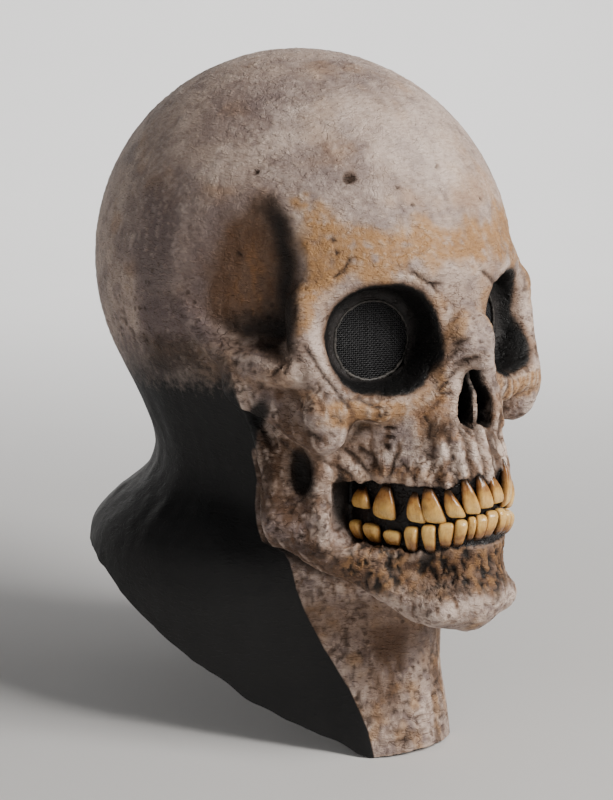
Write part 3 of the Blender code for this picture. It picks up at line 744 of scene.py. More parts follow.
def hood_place(p):
    """Millimetres past the hood's edge, and how soft the edge is: crisp on the neck."""
    u, v = picture(right_side(p))
    front = outline_distance(u, v, HOOD_EDGE + ((-900, 900), (-900, 345))) / PIXELS_PER_MM
    level = np.interp(p[:, 1], [y for y, _ in HOOD_FADE], [z for _, z in HOOD_FADE])
    soft = smooth(-58, -46, p[:, 1]) * smooth(-185, -165, p[:, 2])
    return front * (1 - soft) + (level - p[:, 2]) * soft, soft


def hollowness(p, normal, reach):
    """0 on flat or crowned places, up to 1 in folds."""
    return np.clip((reach - outside(p + normal * reach)) / reach, 0, 1)


def crownedness(p, normal, reach):
    """0 on flat or hollow places, up to 1 on edges."""
    return np.clip((reach + outside(p - normal * reach)) / reach, 0, 1)


def mixed(colour, paint, share):
    return colour + (np.asarray(PAINTS[paint], float) - colour) * np.clip(share, 0, 1)[:, None]


def side_of(p, side):
    """Picture places to paint by, and where the painting may go."""
    if side == "both":
        u, v = picture(right_side(p))
        return u, v, 1.0
    u, v = picture(p)
    return u, v, smooth(2, -2, p[:, 0]) if side == "right" else smooth(-2, 2, p[:, 0])


def socket_place(p):
    """Distance from an eye hole's axis, and height above the socket's floor."""
    across, outward = socket_axes()
    q = folded(p) - np.asarray(SOCKET_CENTRE)
    along, up = q @ across - EYE_OFFSET[0], q[:, 2] - EYE_OFFSET[1] + WEAVE_DROP
    return np.hypot(along, up), q @ outward + SOCKET_DEPTH


def bone_base(p, u, v, tones):
    """Mottled bone colour with the stains, painted shade and painted highlights on it."""
    big, middle, small = tones
    colour = np.tile(np.asarray(PAINTS["bone"], float), (len(p), 1))
    colour = mixed(colour, "bone_grey", smooth(0.42, 0.70, big) * 0.6)
    colour = mixed(colour, "bone_light", smooth(0.48, 0.78, middle) * 0.55)
    colour = mixed(colour, "bone_mauve", smooth(0.55, 0.80, rough_noise(p, 6, 5)) * 0.45)
    colour = mixed(colour, "tan", smooth(0.56, 0.78, rough_noise(p, 19, 4)) * 0.30)
    for number, (paint, strength, grain, centre, radii, turn) in enumerate(STAINS_AND_PAINTED_LIGHT):
        patch = blob(u, v, centre, radii, turn, 0.75) * smooth(30, -10, p[:, 1])
        uneven = rough_noise(p, (grain, grain, grain), 60 + number, 4)
        share = smooth(0.36, 0.74, patch * 0.62 + uneven * 0.62 - 0.06)
        colour = mixed(colour, paint, share * strength * np.minimum(patch * 2.5, 1))
    past = outline_distance(u, v, BAND_EDGE) + (rough_noise(p, 9, 30, 4) - 0.5) * 46
    band_share = smooth(-8, 10, past) * smooth(0.22, 0.52, small * 0.6 + rough_noise(p, 2.2, 31) * 0.4)
    return mixed(colour, "ochre", band_share * 0.88 * smooth(30, -10, p[:, 1]))


def paint_temple(p, u, v, colour):
    """The brown hollow at the temple, black at its lower front."""
    uneven = (rough_noise(p, (7, 7, 12), 6) - 0.5) * 26
    past = outline_distance(u, v, TEMPLE_EDGE)
    front = smooth(240, 285, u)
    ahead = smooth(0, -14, p[:, 1])
    inside = smooth(-12, 6 + 8 * (1 - front), past + uneven * (1 - front * 0.7)) * ahead
    streak = rough_noise(p, (3, 3, 8), 26)
    colour = mixed(colour, "brown", inside * (0.62 + 0.5 * streak))
    middle = inside * smooth(24, 40, past + uneven)
    colour = mixed(colour, "tan", middle * smooth(0.42, 0.62, streak) * 0.5)
    low = smooth(300, 345, v + uneven * 0.6 + 0.25 * (u - 240))
    edge = front * smooth(26, 4, past + uneven * 0.5)
    colour = mixed(colour, "dark", inside * np.maximum(low, edge * 0.9) * 0.93)
    halo = smooth(-34, 0, past + uneven) * (1 - front) * ahead * (1 - inside)
    return mixed(colour, "bone_mauve", halo * 0.55)


def fibres(p, colour, height):
    """Drawn-out streaks over the face and jaw, light over brown."""
    zone = smooth(-128, -150, p[:, 2]) * smooth(-30, -52, p[:, 1]) * smooth(-262, -250, p[:, 2])
    slant = 0.45 * np.clip((p[:, 1] + 90) / 40, -1, 1)
    drawn = np.stack([p[:, 0] + 0.2 * p[:, 2], p[:, 1] + slant * p[:, 2], p[:, 2] - slant * p[:, 1]], 1)
    streak = rough_noise(drawn, (2.3, 2.3, 9), 27, 3)
    height = height + zone * (streak - 0.5) * 1.3
    colour = mixed(colour, "brown", zone * smooth(0.46, 0.28, streak) * 0.75)
    colour = mixed(colour, "bone_light", zone * smooth(0.58, 0.74, streak) * 0.60)
    return colour, height


def wormy(p, colour, height, bone_part):
    """Winding furrows, short level dashes and small pits."""
    zone = smooth(0.40, 0.60, rough_noise(p, 24, 9))
    worm = smooth(0.70, 0.95, grooves(p, (8, 8, 3.2), 8)) * zone
    height = height - worm * 0.34 * bone_part
    colour = mixed(colour, "bone_mauve", worm * (0.25 + 0.4 * smooth(-90, -130, p[:, 2])))
    web = smooth(0.72, 0.96, grooves(p, (4.6, 4.6, 3.0), 33))
    web = web * smooth(0.42, 0.58, rough_noise(p, 19, 34))
    height = height + web * 0.24 * bone_part
    colour = mixed(colour, "bone_light", web * 0.40)
    dash = smooth(0.66, 0.84, noise(p, (5.2, 5.2, 1.9), 11)) * smooth(0.46, 0.62, noise(p, 17, 12))
    dash = dash * smooth(-40, -130, p[:, 2])
    height = height - dash * 0.34 * bone_part
    colour = mixed(colour, "umber", dash * 0.45 * smooth(-84, -130, p[:, 2]))
    return colour, height


def root_ridges(p, colour, height):
    """Upright ridges over the roots of the upper teeth, dark between them."""
    zone = smooth(-60, -92, p[:, 1]) * smooth(-199, -192, p[:, 2])
    signed = arch_angle(p * (-1, 1, 1))
    wander = (rough_noise(p, (7, 7, 9), 14) - 0.5) * 7
    ridge = np.zeros(len(p))
    for name, _, _, root_angle, root_z, _ in TEETH_SHAPED:
        if "_upper_" in name:
            top = root_z + (24 if abs(root_angle) < 36 else 13)
            rise = smooth(top + 5, top - 5, p[:, 2])
            turned_back = (p[:, 2] - root_z) * 0.10 * np.sign(root_angle)
            away = (signed + wander - root_angle - turned_back) / 3.3
            ridge = np.maximum(ridge, np.exp(-(away**2)) * rise)
    front = smooth(52, 34, np.abs(signed)) * smooth(-156, -166, p[:, 2])
    broken = smooth(0.25, 0.5, rough_noise(p, (4, 4, 7), 15))
    height = height + zone * (ridge * broken * 1.5 - front * (1 - ridge) * 0.9)
    colour = mixed(colour, "umber", zone * front * smooth(0.5, 0.1, ridge) * 0.75)
    colour = mixed(colour, "bone_light", zone * smooth(0.45, 0.9, ridge * broken) * (0.35 + 0.5 * front))
    return colour, height


def slits(p, colour, height, tones):
    """Upright and slanting slits in the brown bone below the lower teeth."""
    zone = smooth(-218, -223, p[:, 2]) * smooth(-247, -238, p[:, 2] + (tones[1] - 0.5) * 12)
    zone = zone * smooth(-84, -102, p[:, 1])
    slant = np.stack([p[:, 0] + 0.5 * p[:, 2], p[:, 1] + 0.3 * p[:, 2], p[:, 2] - 0.5 * p[:, 0]], 1)
    slit = smooth(0.52, 0.64, rough_noise(slant, (2.2, 2.2, 8.0), 16, 2))
    height = height - slit * zone * 1.3
    colour = mixed(colour, "brown", zone * 0.70)
    colour = mixed(colour, "ochre", zone * 0.62 * smooth(0.42, 0.60, tones[2]))
    return mixed(colour, "dark", zone * slit * 0.90), height


def marks(p, colour, height):
    """The single cracks, scratches and pits."""
    ahead = smooth(-14, -44, p[:, 1])
    for depth, width, side, points in LINES:
        u, v, there = side_of(p, side)
        cut = stroke(u, v, points, width) * there * ahead
        height = height - cut * depth
        colour = mixed(colour, "umber", cut * 0.95)
    for depth, wide, high, side, place in PITS:
        u, v, there = side_of(p, side)
        far = np.hypot((u - place[0]) / wide, (v - place[1]) / high)
        cut = smooth(1.0, 0.55, far) * there * ahead
        height = height - cut * depth
        height = height + np.exp(-(((far - 1.2) / 0.25) ** 2)) * 0.35 * there * ahead
        colour = mixed(colour, "umber", cut * 0.9)
    return colour, height


def washes_shade_and_highlight(p, normal, colour, tones):
    """Dark paint in the folds, partly a wash and partly painted shade, and light paint over the edges,
    partly brushed on and partly a painted highlight.
    """
    ahead = smooth(-20, -58, p[:, 1])
    near, wide = hollowness(p, normal, 3.0), hollowness(p, normal, 9.0)
    edge = crownedness(p, normal, 5.0)
    # Brown in the small folds: partly a wash of paint and partly painted shade.
    wash_and_shade = smooth(0.03, 0.5, near) * (0.5 + 1.0 * (tones[2] - 0.35))
    colour = mixed(colour, "brown", wash_and_shade * 0.85)
    # Dark in the wide hollows on the front: painted shade.
    colour = mixed(colour, "dark", smooth(0.28, 0.85, wide) * 0.85 * ahead)
    # Light paint on the crowned edges: partly brushed-on wear and partly a painted highlight.
    worn = smooth(0.10, 0.45, edge) * smooth(0.3, 0.6, tones[1]) * 0.55 * ahead
    colour = mixed(colour, "bone_light", worn)
    fleck = smooth(0.62, 0.76, noise(p, 2.0, 17)) * smooth(0.42, 0.62, noise(p, 13, 18)) * ahead
    return mixed(colour, "umber", fleck * (0.12 + 0.48 * smooth(-90, -130, p[:, 2])))


def neck_front(p, colour, height):
    """Throat: brown hollows beside a light middle ridge, short level ribs low down, and painted shade
    under the jaw.
    """
    zone = smooth(-252, -262, p[:, 2])
    x = np.abs(p[:, 0])
    patch = smooth(0.25, 0.6, rough_noise(p, (5, 5, 8), 20))
    side = smooth(5, 12, x) * smooth(30, 20, x) * smooth(-264, -274, p[:, 2])
    side = side * smooth(-322, -296, p[:, 2])
    height = height - zone * side * 1.2
    colour = mixed(colour, "brown", zone * side * patch * 0.85)
    colour = mixed(colour, "ochre", zone * smooth(0.5, 0.75, rough_noise(p, 8, 22)) * 0.5)
    wave = 0.5 + 0.5 * np.cos(p[:, 2] * 2 * math.pi / 4.2 + rough_noise(p, 9, 21) * 7)
    ribs = wave**2 * smooth(6, 9, x) * smooth(22, 16, x)
    ribs = ribs * smooth(-296, -306, p[:, 2]) * smooth(-333, -329, p[:, 2])
    height = height - ribs * zone * 0.9
    colour = mixed(colour, "umber", ribs * zone * 0.75 * smooth(0.3, 0.5, rough_noise(p, 4, 24)))
    # Brown under the jaw: painted shade where the jaw overhangs the throat.
    under = smooth(-250, -262, p[:, 2]) * smooth(-290, -268, p[:, 2]) * smooth(-122, -100, p[:, 1])
    return mixed(colour, "brown", under * 0.45), height


def dark_openings(p, colour, height, tones):
    """Black paint in the eye sockets, the nose and between the teeth."""
    q = folded(p)
    rough = (tones[2] - 0.5) * 3
    cup = socket(q) + rough * 0.35
    colour = mixed(colour, "brown", smooth(4.2, 1.2, cup) * 0.55)
    pit = smooth(1.9, 0.7, cup)
    colour = mixed(colour, "black", pit)
    ring, floor = socket_place(p)
    around = pit * smooth(27, 20, ring) * smooth(7, 1, floor)
    colour = mixed(colour, "socket", around * (0.4 + 0.8 * tones[2]))
    u, v = picture(right_side(p))
    for centre, radii, turn in DARK_SPOTS:
        spot = blob(u, v, centre, radii, turn, 0.6) * smooth(-20, -40, p[:, 1])
        colour = mixed(colour, "dark", spot * 0.9)
    deep = smooth(2.5, 6.0, p[:, 1] + 130 - 0.25 * np.abs(p[:, 0]) + rough * 0.4)
    nose = deep * smooth(1.2, 0.2, nose_hole(q)) * smooth(-132, -138, p[:, 2]) * smooth(14, 12, q[:, 0])
    colour = mixed(colour, "dark", nose)
    gum = smooth(1.3, 0.5, mouth(q) + rough * 0.15) * smooth(-176, -180, p[:, 2])
    gum = gum * smooth(0.6, -0.6, arch_plan(q, UPPER_BONE_ARCH))
    colour = mixed(colour, "gum", gum)
    height = height * (1 - gum * 0.8) + gum * (noise(p, 2.6, 23) - 0.4) * 0.7
    return colour, height, gum, pit


def skin_paint(p, normal):
    """Colour, height of the fine relief and finish for each point of the outer skin."""
    u, v = picture(right_side(p))
    tones = rough_noise(p, 34, 1), rough_noise(p, 9, 2), rough_noise(p, 3.4, 3)
    past, soft = hood_place(p)
    hood = smooth(-2, 2, past / (1 + soft * 5))
    height = (tones[2] - 0.5) * 0.30 + (tones[1] - 0.5) * 0.5 * (1 - hood)
    colour = bone_base(p, u, v, tones)
    colour, height = wormy(p, colour, height, 1 - hood)
    colour = paint_temple(p, u, v, colour)
    colour, height = root_ridges(p, colour, height)
    colour, height = fibres(p, colour, height)
    colour, height = slits(p, colour, height, tones)
    colour, height = neck_front(p, colour, height)
    colour, height = marks(p, colour, height)
    colour = washes_shade_and_highlight(p, normal, colour, tones)
    colour, height, gum, pit = dark_openings(p, colour, height, tones)
    folds = rough_noise(p, (15, 15, 60), 25)
    height = height * (1 - hood * 0.7) + hood * (folds - 0.5) * 2.4 * smooth(-140, -200, p[:, 2])
    finish = np.stack([np.clip(gum + pit * 0.3, 0, 1), np.clip(0.5 + past / 64, 0, 1), soft], 1)
    return np.clip(colour, 0, 255), height, finish


def outer_solid(p):
    """The outer form, ending a little below the lower rim, not yet hollow."""
    low_edge = np.interp(p[:, 1], [y for y, _ in RIM], [z for _, z in RIM])
    return np.maximum(outside(p), (low_edge - RIM_SURPLUS - p[:, 2]) * 0.8)


def hollow_solid(p):
    """The room for the head and neck, open below, with a round hole to each eye socket."""
    ring, floor = socket_place(p)
    holes = np.maximum(ring - EYE_HOLE_RADIUS + 0.6, np.abs(floor + 4) - 9)
    room = join(cavity(p, outside(p)), holes, 0.6)
    return np.maximum(room, HOLLOW_END_Z - p[:, 2])


def screen_to_linear(colour):
    c = np.asarray(colour, float) / 255
    return np.where(c <= 0.04045, c / 12.92, ((c + 0.055) / 1.055) ** 2.4)


def linked(name, data):
    """An object of this data, in the scene."""
    obj = bpy.data.objects.new(name, data)
    bpy.context.scene.collection.objects.link(obj)
    return obj


def mesh_of(name, points, faces):
    """A smooth shaded mesh from points in millimetres."""
    mesh = bpy.data.meshes.new(name)
    mesh.from_pydata(np.asarray(points) / 1000, [], faces)
    mesh.shade_smooth()
    return mesh


def new_object(name, points, faces):
    return linked(name, mesh_of(name, points, faces))


def put_colour(mesh, name, values):
    layer = mesh.color_attributes.new(name, "FLOAT_COLOR", "POINT")
    flat = np.ones((len(values), 4), np.float32)
    flat[:, :3] = values
    layer.data.foreach_set("color", flat.ravel())


def meshed(field, cells, step, place, size):
    """Points and faces of a field's surface, on a grid that place may warp."""
    low = np.full(3, -cells * step / 2)
    values = sampled(field, low, (cells,) * 3, step, place, size)
    spots, faces = surface(without_pinches(values), low, step)
    points = place(spots)
    return settled(field, points, 1.3 * step), faces.tolist()


def rim_cutter():
    """A block whose top follows the lower rim, with the rim's corners smoothed."""
    y = np.arange(-150, 151, 1.5)
    z = np.interp(y, [row[0] for row in RIM], [row[1] for row in RIM])
    for _ in range(12):
        z[1:-1] = (z[:-2] + z[1:-1] * 2 + z[2:]) / 4
    z += 0.5 * np.sin(y * 0.31) * np.sin(y * 0.083 + 1)
    outline = list(zip(y, z)) + [(150, -420), (-150, -420)]
    n = len(outline)
    points = [(x, a, b) for x in (-130, 130) for a, b in outline]
    faces = [tuple(range(n))[::-1], tuple(range(n, 2 * n))]
    faces += [(i, (i + 1) % n, n + (i + 1) % n, n + i) for i in range(n)]
    return new_object("rim", points, [face[::-1] for face in faces])


def cut_away(obj, cutter):
    """The object less the cutter, with the change made part of its mesh."""
    cut = obj.modifiers.new("cut", "BOOLEAN")
    cut.operation = "DIFFERENCE"
    cut.solver = "MANIFOLD"
    cut.object = cutter
    baked(obj)
    bpy.data.objects.remove(cutter)


def baked(obj):
    """The object with its modifiers made part of its mesh."""
    graph = bpy.context.evaluated_depsgraph_get()
    mesh = bpy.data.meshes.new_from_object(obj.evaluated_get(graph), depsgraph=graph)
    obj.modifiers.clear()
    obj.data = mesh
    return obj


def make_skin():
    """The latex as one closed body, with its relief and painting in the mesh."""
    points, faces = meshed(outer_solid, 224, 1.0,
                           placed, cell_size)
    skin = new_object("skin", points, faces)
    middle = np.array((0.0, 0.0, -170.0))
    points, faces = meshed(hollow_solid, 96, 4.0, lambda q: q + middle, lambda q: 1.0)
    lining = new_object("lining", points, faces)
    fewer = lining.modifiers.new("fewer", "DECIMATE")
    fewer.ratio = LINING_SHARE
    cut_away(skin, baked(lining))
    cut_away(skin, rim_cutter())

    mesh = skin.data
    count = len(mesh.vertices)
    points, normal = np.empty(count * 3, np.float32), np.empty(count * 3, np.float32)
    mesh.vertices.foreach_get("co", points)
    mesh.vertex_normals.foreach_get("vector", normal)
    points, normal = points.reshape(-1, 3).astype(float) * 1000, normal.reshape(-1, 3).astype(float)
    depth = outside(points)
    inner = smooth(-0.9, -1.6, depth)
    shown = np.nonzero(inner < 1)[0]
    colour = np.asarray(PAINTS["lining"], float) * (0.7 + 0.6 * rough_noise(points, 8, 40))[:, None]
    finish = np.tile((0.0, 1.0, 0.0), (count, 1))
    paint, height, masks = skin_paint(points[shown], normal[shown])
    share = (1 - inner[shown])[:, None]
    colour[shown] += (paint - colour[shown]) * share
    finish[shown] += (masks - finish[shown]) * share
    lift = height * smooth(-0.9, -0.2, depth[shown])
    points[shown] += normal[shown] * lift[:, None]
    mesh.vertices.foreach_set("co", (points / 1000).astype(np.float32).ravel())
    put_colour(mesh, "paint", screen_to_linear(colour))
    put_colour(mesh, "finish", finish)
    mesh.shade_smooth()
    mesh.set_sharp_from_angle(angle=math.radians(62))
    mesh.update()
    print("skin triangles", sum(len(p.vertices) - 2 for p in mesh.polygons))
    return skin


def shader(name):
    """A material with its nodes, and a helper that adds a node with its settings and inputs."""
    made = bpy.data.materials.new(name)
    made.use_nodes = True
    tree = made.node_tree

    def node(kind, inputs=(), **settings):
        item = tree.nodes.new(kind)
        for key, value in settings.items():
            setattr(item, key, value)
        for key, value in dict(inputs).items():
            if isinstance(value, bpy.types.NodeSocket):
                tree.links.new(value, item.inputs[key])
            else:
                item.inputs[key].default_value = value
        return item

    return made, node, tree.nodes["Principled BSDF"], tree.links


def ramp(node, value, low, high, out_low, out_high):
    inputs = {"Value": value, "From Min": low, "From Max": high, "To Min": out_low, "To Max": out_high}
    return node("ShaderNodeMapRange", inputs).outputs["Result"]


def sums(node, operation, *values):
    """One Math node on numbers or sockets."""
    item = node("ShaderNodeMath", dict(enumerate(values)), operation=operation)
    return item.outputs["Value"]


def blended(node, share, a, b, mode="MIX"):
    """Two colours mixed, b over a by a share."""
    item = node("ShaderNodeMix", data_type="RGBA", blend_type=mode)
    for key, value in (("Factor_Float", share), ("A_Color", a), ("B_Color", b)):
        target = next(i for i in item.inputs if i.identifier == key)
        if isinstance(value, bpy.types.NodeSocket):
            item.id_data.links.new(value, target)
        else:
            target.default_value = value
    return next(o for o in item.outputs if o.identifier == "Result_Color")


def grain(node, place, scale, detail=3.0, rough=0.6, stretch=None):
    if stretch:
        place = node("ShaderNodeMapping", {"Vector": place, "Scale": stretch}).outputs["Vector"]
    inputs = {"Vector": place, "Scale": scale, "Detail": detail, "Roughness": rough}
    return node("ShaderNodeTexNoise", inputs).outputs["Fac"]


def threads(node, place, scale, thin, stretch=None, detail=2.0):
    """1 on thin winding lines, where a noise crosses its middle."""
    value = grain(node, place, scale, detail, 0.5, stretch)
    away = sums(node, "ABSOLUTE", sums(node, "SUBTRACT", value, 0.5))
    return ramp(node, away, 0.0, thin, 1, 0)


def dots(node, place, scale, size, stretch=None):
    """1 in small round spots that lie at random."""
    if stretch:
        place = node("ShaderNodeMapping", {"Vector": place, "Scale": stretch}).outputs["Vector"]
    cells = node("ShaderNodeTexVoronoi", {"Vector": place, "Scale": scale, "Randomness": 1.0})
    return ramp(node, cells.outputs["Distance"], size * 0.5, size, 1, 0)


def skin_material():
    made, node, surface_node, links = shader("latex_paint")
    paint = node("ShaderNodeAttribute", attribute_name="paint").outputs["Color"]
    finish = node("ShaderNodeAttribute", attribute_name="finish").outputs["Color"]
    parts = node("ShaderNodeSeparateColor", {"Color": finish}).outputs
    gloss, past, soft = parts["Red"], parts["Green"], parts["Blue"]
    gum, bare = ramp(node, gloss, 0.4, 0.9, 0, 1), ramp(node, gloss, 0.0, 0.28, 1, 0)
    place = node("ShaderNodeTexCoord").outputs["Object"]
    fine, mist = grain(node, place, 900, 4), grain(node, place, 260, 5, 0.7)
    broad = grain(node, place, 38, 3)
    width = ramp(node, soft, 0, 1, 0.7, 30)
    wobble = sums(node, "MULTIPLY", sums(node, "SUBTRACT", mist, 0.5),
                  sums(node, "MULTIPLY", width, 1.1))
    depth = sums(node, "MULTIPLY", sums(node, "SUBTRACT", past, 0.5), 64)
    depth = sums(node, "DIVIDE", sums(node, "ADD", depth, wobble), width)
    hood = ramp(node, depth, -0.5, 0.5, 0, 1)

    level = node("ShaderNodeSeparateXYZ", {"Vector": place}).outputs["Z"]
    face = ramp(node, level, -0.115, -0.075, 1, 0.22)
    patch = ramp(node, broad, 0.46, 0.60, 0, 1)
    other = ramp(node, broad, 0.56, 0.42, 0, 1)
    worm = sums(node, "MULTIPLY", threads(node, place, 120, 0.030, (1, 1, 1.7)), patch)
    web = sums(node, "MULTIPLY", threads(node, place, 210, 0.045), other)
    dash = ramp(node, grain(node, place, 300, 1, 0.4, (1, 1, 3.4)), 0.64, 0.72, 0, 1)
    dash = sums(node, "MULTIPLY", dash, ramp(node, grain(node, place, 55, 2), 0.42, 0.56, 0, 1))
    pit = sums(node, "MULTIPLY", dots(node, place, 190, 0.30),
               ramp(node, grain(node, place, 70, 2), 0.50, 0.60, 0, 1))
    fleck = ramp(node, grain(node, place, 620, 2, 0.5, (1, 1, 1.6)), 0.60, 0.68, 0, 1)
    brushed = ramp(node, grain(node, place, 330, 4, 0.6, (1, 1, 2.6)), 0.40, 0.56, 1, 0)

    tone = blended(node, ramp(node, mist, 0.54, 0.70, 0, 0.45), paint, (0.86, 0.80, 0.72, 1),
                   "SOFT_LIGHT")
    chips = ramp(node, grain(node, place, 250, 2, 0.5, (1, 1, 2.8)), 0.56, 0.66, 0, 1)
    chips = sums(node, "MULTIPLY", chips, bare)
    tone = blended(node, sums(node, "MULTIPLY", chips, 0.40), tone, (0.86, 0.80, 0.74, 1), "SOFT_LIGHT")
    worm, dash, pit, fleck = (sums(node, "MULTIPLY", mark, face) for mark in (worm, dash, pit, fleck))
    for mark, strength, darker in ((brushed, 0.40, (0.62, 0.56, 0.52, 1)),
                                   (worm, 0.55, (0.42, 0.34, 0.30, 1)),
                                   (dash, 0.60, (0.30, 0.22, 0.17, 1)),
                                   (pit, 0.70, (0.22, 0.16, 0.12, 1)),
                                   (fleck, 0.45, (0.34, 0.25, 0.18, 1))):
        tone = blended(node, sums(node, "MULTIPLY", mark, strength), tone, darker, "MULTIPLY")
    tone = blended(node, gum, tone, (0.008, 0.006, 0.006, 1))
    night = blended(node, mist, (0.0045, 0.0045, 0.005, 1), (0.010, 0.0098, 0.010, 1))
    links.new(blended(node, hood, tone, night), surface_node.inputs["Base Color"])

    bone_rough = ramp(node, fine, 0.3, 0.7, 0.46, 0.70)
    hood_rough = ramp(node, mist, 0.3, 0.7, 0.46, 0.60)
    rough = node("ShaderNodeMix", {"Factor": hood, "A": bone_rough, "B": hood_rough}).outputs["Result"]
    rough = node("ShaderNodeMix", {"Factor": gum, "A": rough, "B": 0.24}).outputs["Result"]
    links.new(rough, surface_node.inputs["Roughness"])
    lines = sums(node, "ADD", worm, sums(node, "MULTIPLY", web, 0.6))
    cuts = sums(node, "ADD", lines, sums(node, "ADD", dash, pit))
    relief = sums(node, "SUBTRACT", sums(node, "ADD", sums(node, "ADD", fine, mist), chips), cuts)
    relief = sums(node, "MULTIPLY", relief, ramp(node, hood, 0, 1, 1, 0.22))
    bump = node("ShaderNodeBump", {"Height": relief, "Strength": 0.75, "Distance": 0.0005})
    links.new(bump.outputs["Normal"], surface_node.inputs["Normal"])
    surface_node.inputs["Specular IOR Level"].default_value = 0.30
    return made


def tooth_material():
    made, node, surface_node, links = shader("tooth_enamel")
    paint = node("ShaderNodeAttribute", attribute_name="paint").outputs["Color"]
    place = node("ShaderNodeTexCoord").outputs["Object"]
    streak = grain(node, place, 620, 4, 0.6, (1, 1, 0.22))
    mist = grain(node, place, 330, 4)
    crack = threads(node, place, 420, 0.035, (1, 1, 0.30))
    tone = paint
    for share, over, mode in (
            (ramp(node, streak, 0.50, 0.70, 0, 0.55), (0.60, 0.42, 0.24, 1), "MULTIPLY"),
            (sums(node, "MULTIPLY", crack, 0.25), (0.35, 0.20, 0.10, 1), "MULTIPLY"),
            (ramp(node, mist, 0.50, 0.68, 0, 0.35), (1.0, 0.86, 0.55, 1), "SOFT_LIGHT")):
        tone = blended(node, share, tone, over, mode)
    links.new(tone, surface_node.inputs["Base Color"])
    links.new(ramp(node, mist, 0.3, 0.7, 0.20, 0.38), surface_node.inputs["Roughness"])
    bump = node("ShaderNodeBump", {"Height": streak, "Strength": 0.45, "Distance": 0.0004})
    links.new(bump.outputs["Normal"], surface_node.inputs["Normal"])
    surface_node.inputs["Coat Weight"].default_value = 0.25
    return made


def dark_material(name, low, high, rough):
    """A dark finish that varies between two colours, for the eye mesh and the torn latex."""
    made, node, surface_node, links = shader(name)
    place = node("ShaderNodeTexCoord").outputs["Object"]
    mist = grain(node, place, 600, 4)
    tone = blended(node, ramp(node, mist, 0.35, 0.65, 0, 1), low, high)
    links.new(tone, surface_node.inputs["Base Color"])
    links.new(ramp(node, mist, 0.3, 0.7, rough - 0.08, rough + 0.08), surface_node.inputs["Roughness"])
    bump = node("ShaderNodeBump", {"Height": mist, "Strength": 0.3, "Distance": 0.0003})
    links.new(bump.outputs["Normal"], surface_node.inputs["Normal"])
    return made


def tube_rows(path, radius, sides):
    """Rings of points round a path, and the faces between them, with closed ends."""
    path = np.asarray(path, float)
    along = np.gradient(path, axis=0)
    along /= np.linalg.norm(along, axis=1)[:, None]
    side = np.cross(along, (0.1, 0.2, 1.0))
    side /= np.linalg.norm(side, axis=1)[:, None]
    over = np.cross(side, along)
    points, faces = [], []
    for i in range(len(path)):
        for k in range(sides):
            a = 2 * math.pi * k / sides
            points.append(path[i] + radius * (side[i] * math.cos(a) + over[i] * math.sin(a)))
    for i in range(len(path) - 1):
        for k in range(sides):
            m = (k + 1) % sides
            faces.append((i * sides + k, i * sides + m, (i + 1) * sides + m, (i + 1) * sides + k))
    faces.append(tuple(range(sides))[::-1])
    faces.append(tuple((len(path) - 1) * sides + k for k in range(sides)))
    return points, faces


def socket_spot(u, v, w, mirror):
    """A point given across, up and out from the middle of an eye hole."""
    across, outward = socket_axes()
    spot = np.asarray(SOCKET_CENTRE) + across * (u + EYE_OFFSET[0])
    spot = spot + np.array((0, 0, 1.0)) * (v + EYE_OFFSET[1] - WEAVE_DROP)
    return (spot + outward * (w - SOCKET_DEPTH)) * (mirror, 1, 1)


def make_eye_mesh(side, mirror, look):
    """Threads woven over and under each other, cut to a disc."""
    pitch = EYE_WEAVE_PITCH * 1
    radius, wave = pitch * 0.29, pitch * 0.20
    points, faces = [], []
    count = int(EYE_MESH_RADIUS / pitch)
    for way in (0, 1):
        for i in range(-count, count + 1):
            offset = i * pitch
            reach = math.sqrt(max(EYE_MESH_RADIUS**2 - offset**2, 0)) - 0.2
            if reach < 1.5:
                continue
            steps = max(int(reach * 2 / pitch * 2), 4)
            path = []
            for t in np.linspace(-reach, reach, steps + 1):
                lift = wave * math.cos(math.pi * (t / pitch + i + way))
                spot = (t, offset) if way == 0 else (offset, t)
                path.append(socket_spot(spot[0], spot[1], -1.2 + lift, mirror))
            more, joins = tube_rows(path, radius, 5)
            start = len(points)
            points += more
            faces += [tuple(start + k for k in face) for face in joins]
    mesh = mesh_of("eye_weave_" + side, points, faces)
    finish_piece(mesh, "eye_weave_" + side, look, "eye_mesh", "eye_mesh_" + side)


def make_torn_edge(side, mirror, look):
    """The thin, roughly cut edge of latex round the eye mesh."""
    sides = 160
    random = np.random.default_rng(5 if side == "left" else 6)
    bites = np.cumsum(random.normal(0, 0.14, sides))
    bites = bites - np.linspace(0, bites[-1], sides)
    bites = np.clip(bites - bites.mean(), -0.55, 0.55) + random.normal(0, 0.12, sides)
    profile = ((-0.2, 0.0), (0.0, 0.45), (0.5, 0.70), (1.0, 0.45), (1.6, -0.5), (0.2, -0.7))
    points, faces = [], []
    for i in range(sides):
        a = 2 * math.pi * i / sides
        for out, lift in profile:
            r = TORN_EDGE_RADIUS + out + bites[i] * (1 if out < 0.3 else 0.6 if out < 1.2 else 0)
            points.append(socket_spot(r * math.cos(a), r * math.sin(a), lift, mirror))
    n = len(profile)
    for i in range(sides):
        for k in range(n):
            m, j = (k + 1) % n, (i + 1) % sides
            faces.append((i * n + k, j * n + k, j * n + m, i * n + m))
    mesh = mesh_of("eye_edge_" + side, points, faces)
    finish_piece(mesh, "eye_edge_" + side, look, "latex_skin")


def finish_piece(mesh, name, look, slot, *nodes):
    """Faces turned outward, the material put on, and the piece fixed to the mask."""
    work = bmesh.new()
    work.from_mesh(mesh)
    bmesh.ops.recalc_face_normals(work, faces=work.faces)
    work.to_mesh(mesh)
    work.free()
    mesh.materials.append(look)
    obj = linked(name, mesh)
    if nodes:
        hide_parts(*nodes)
    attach(obj, "root")
    return obj


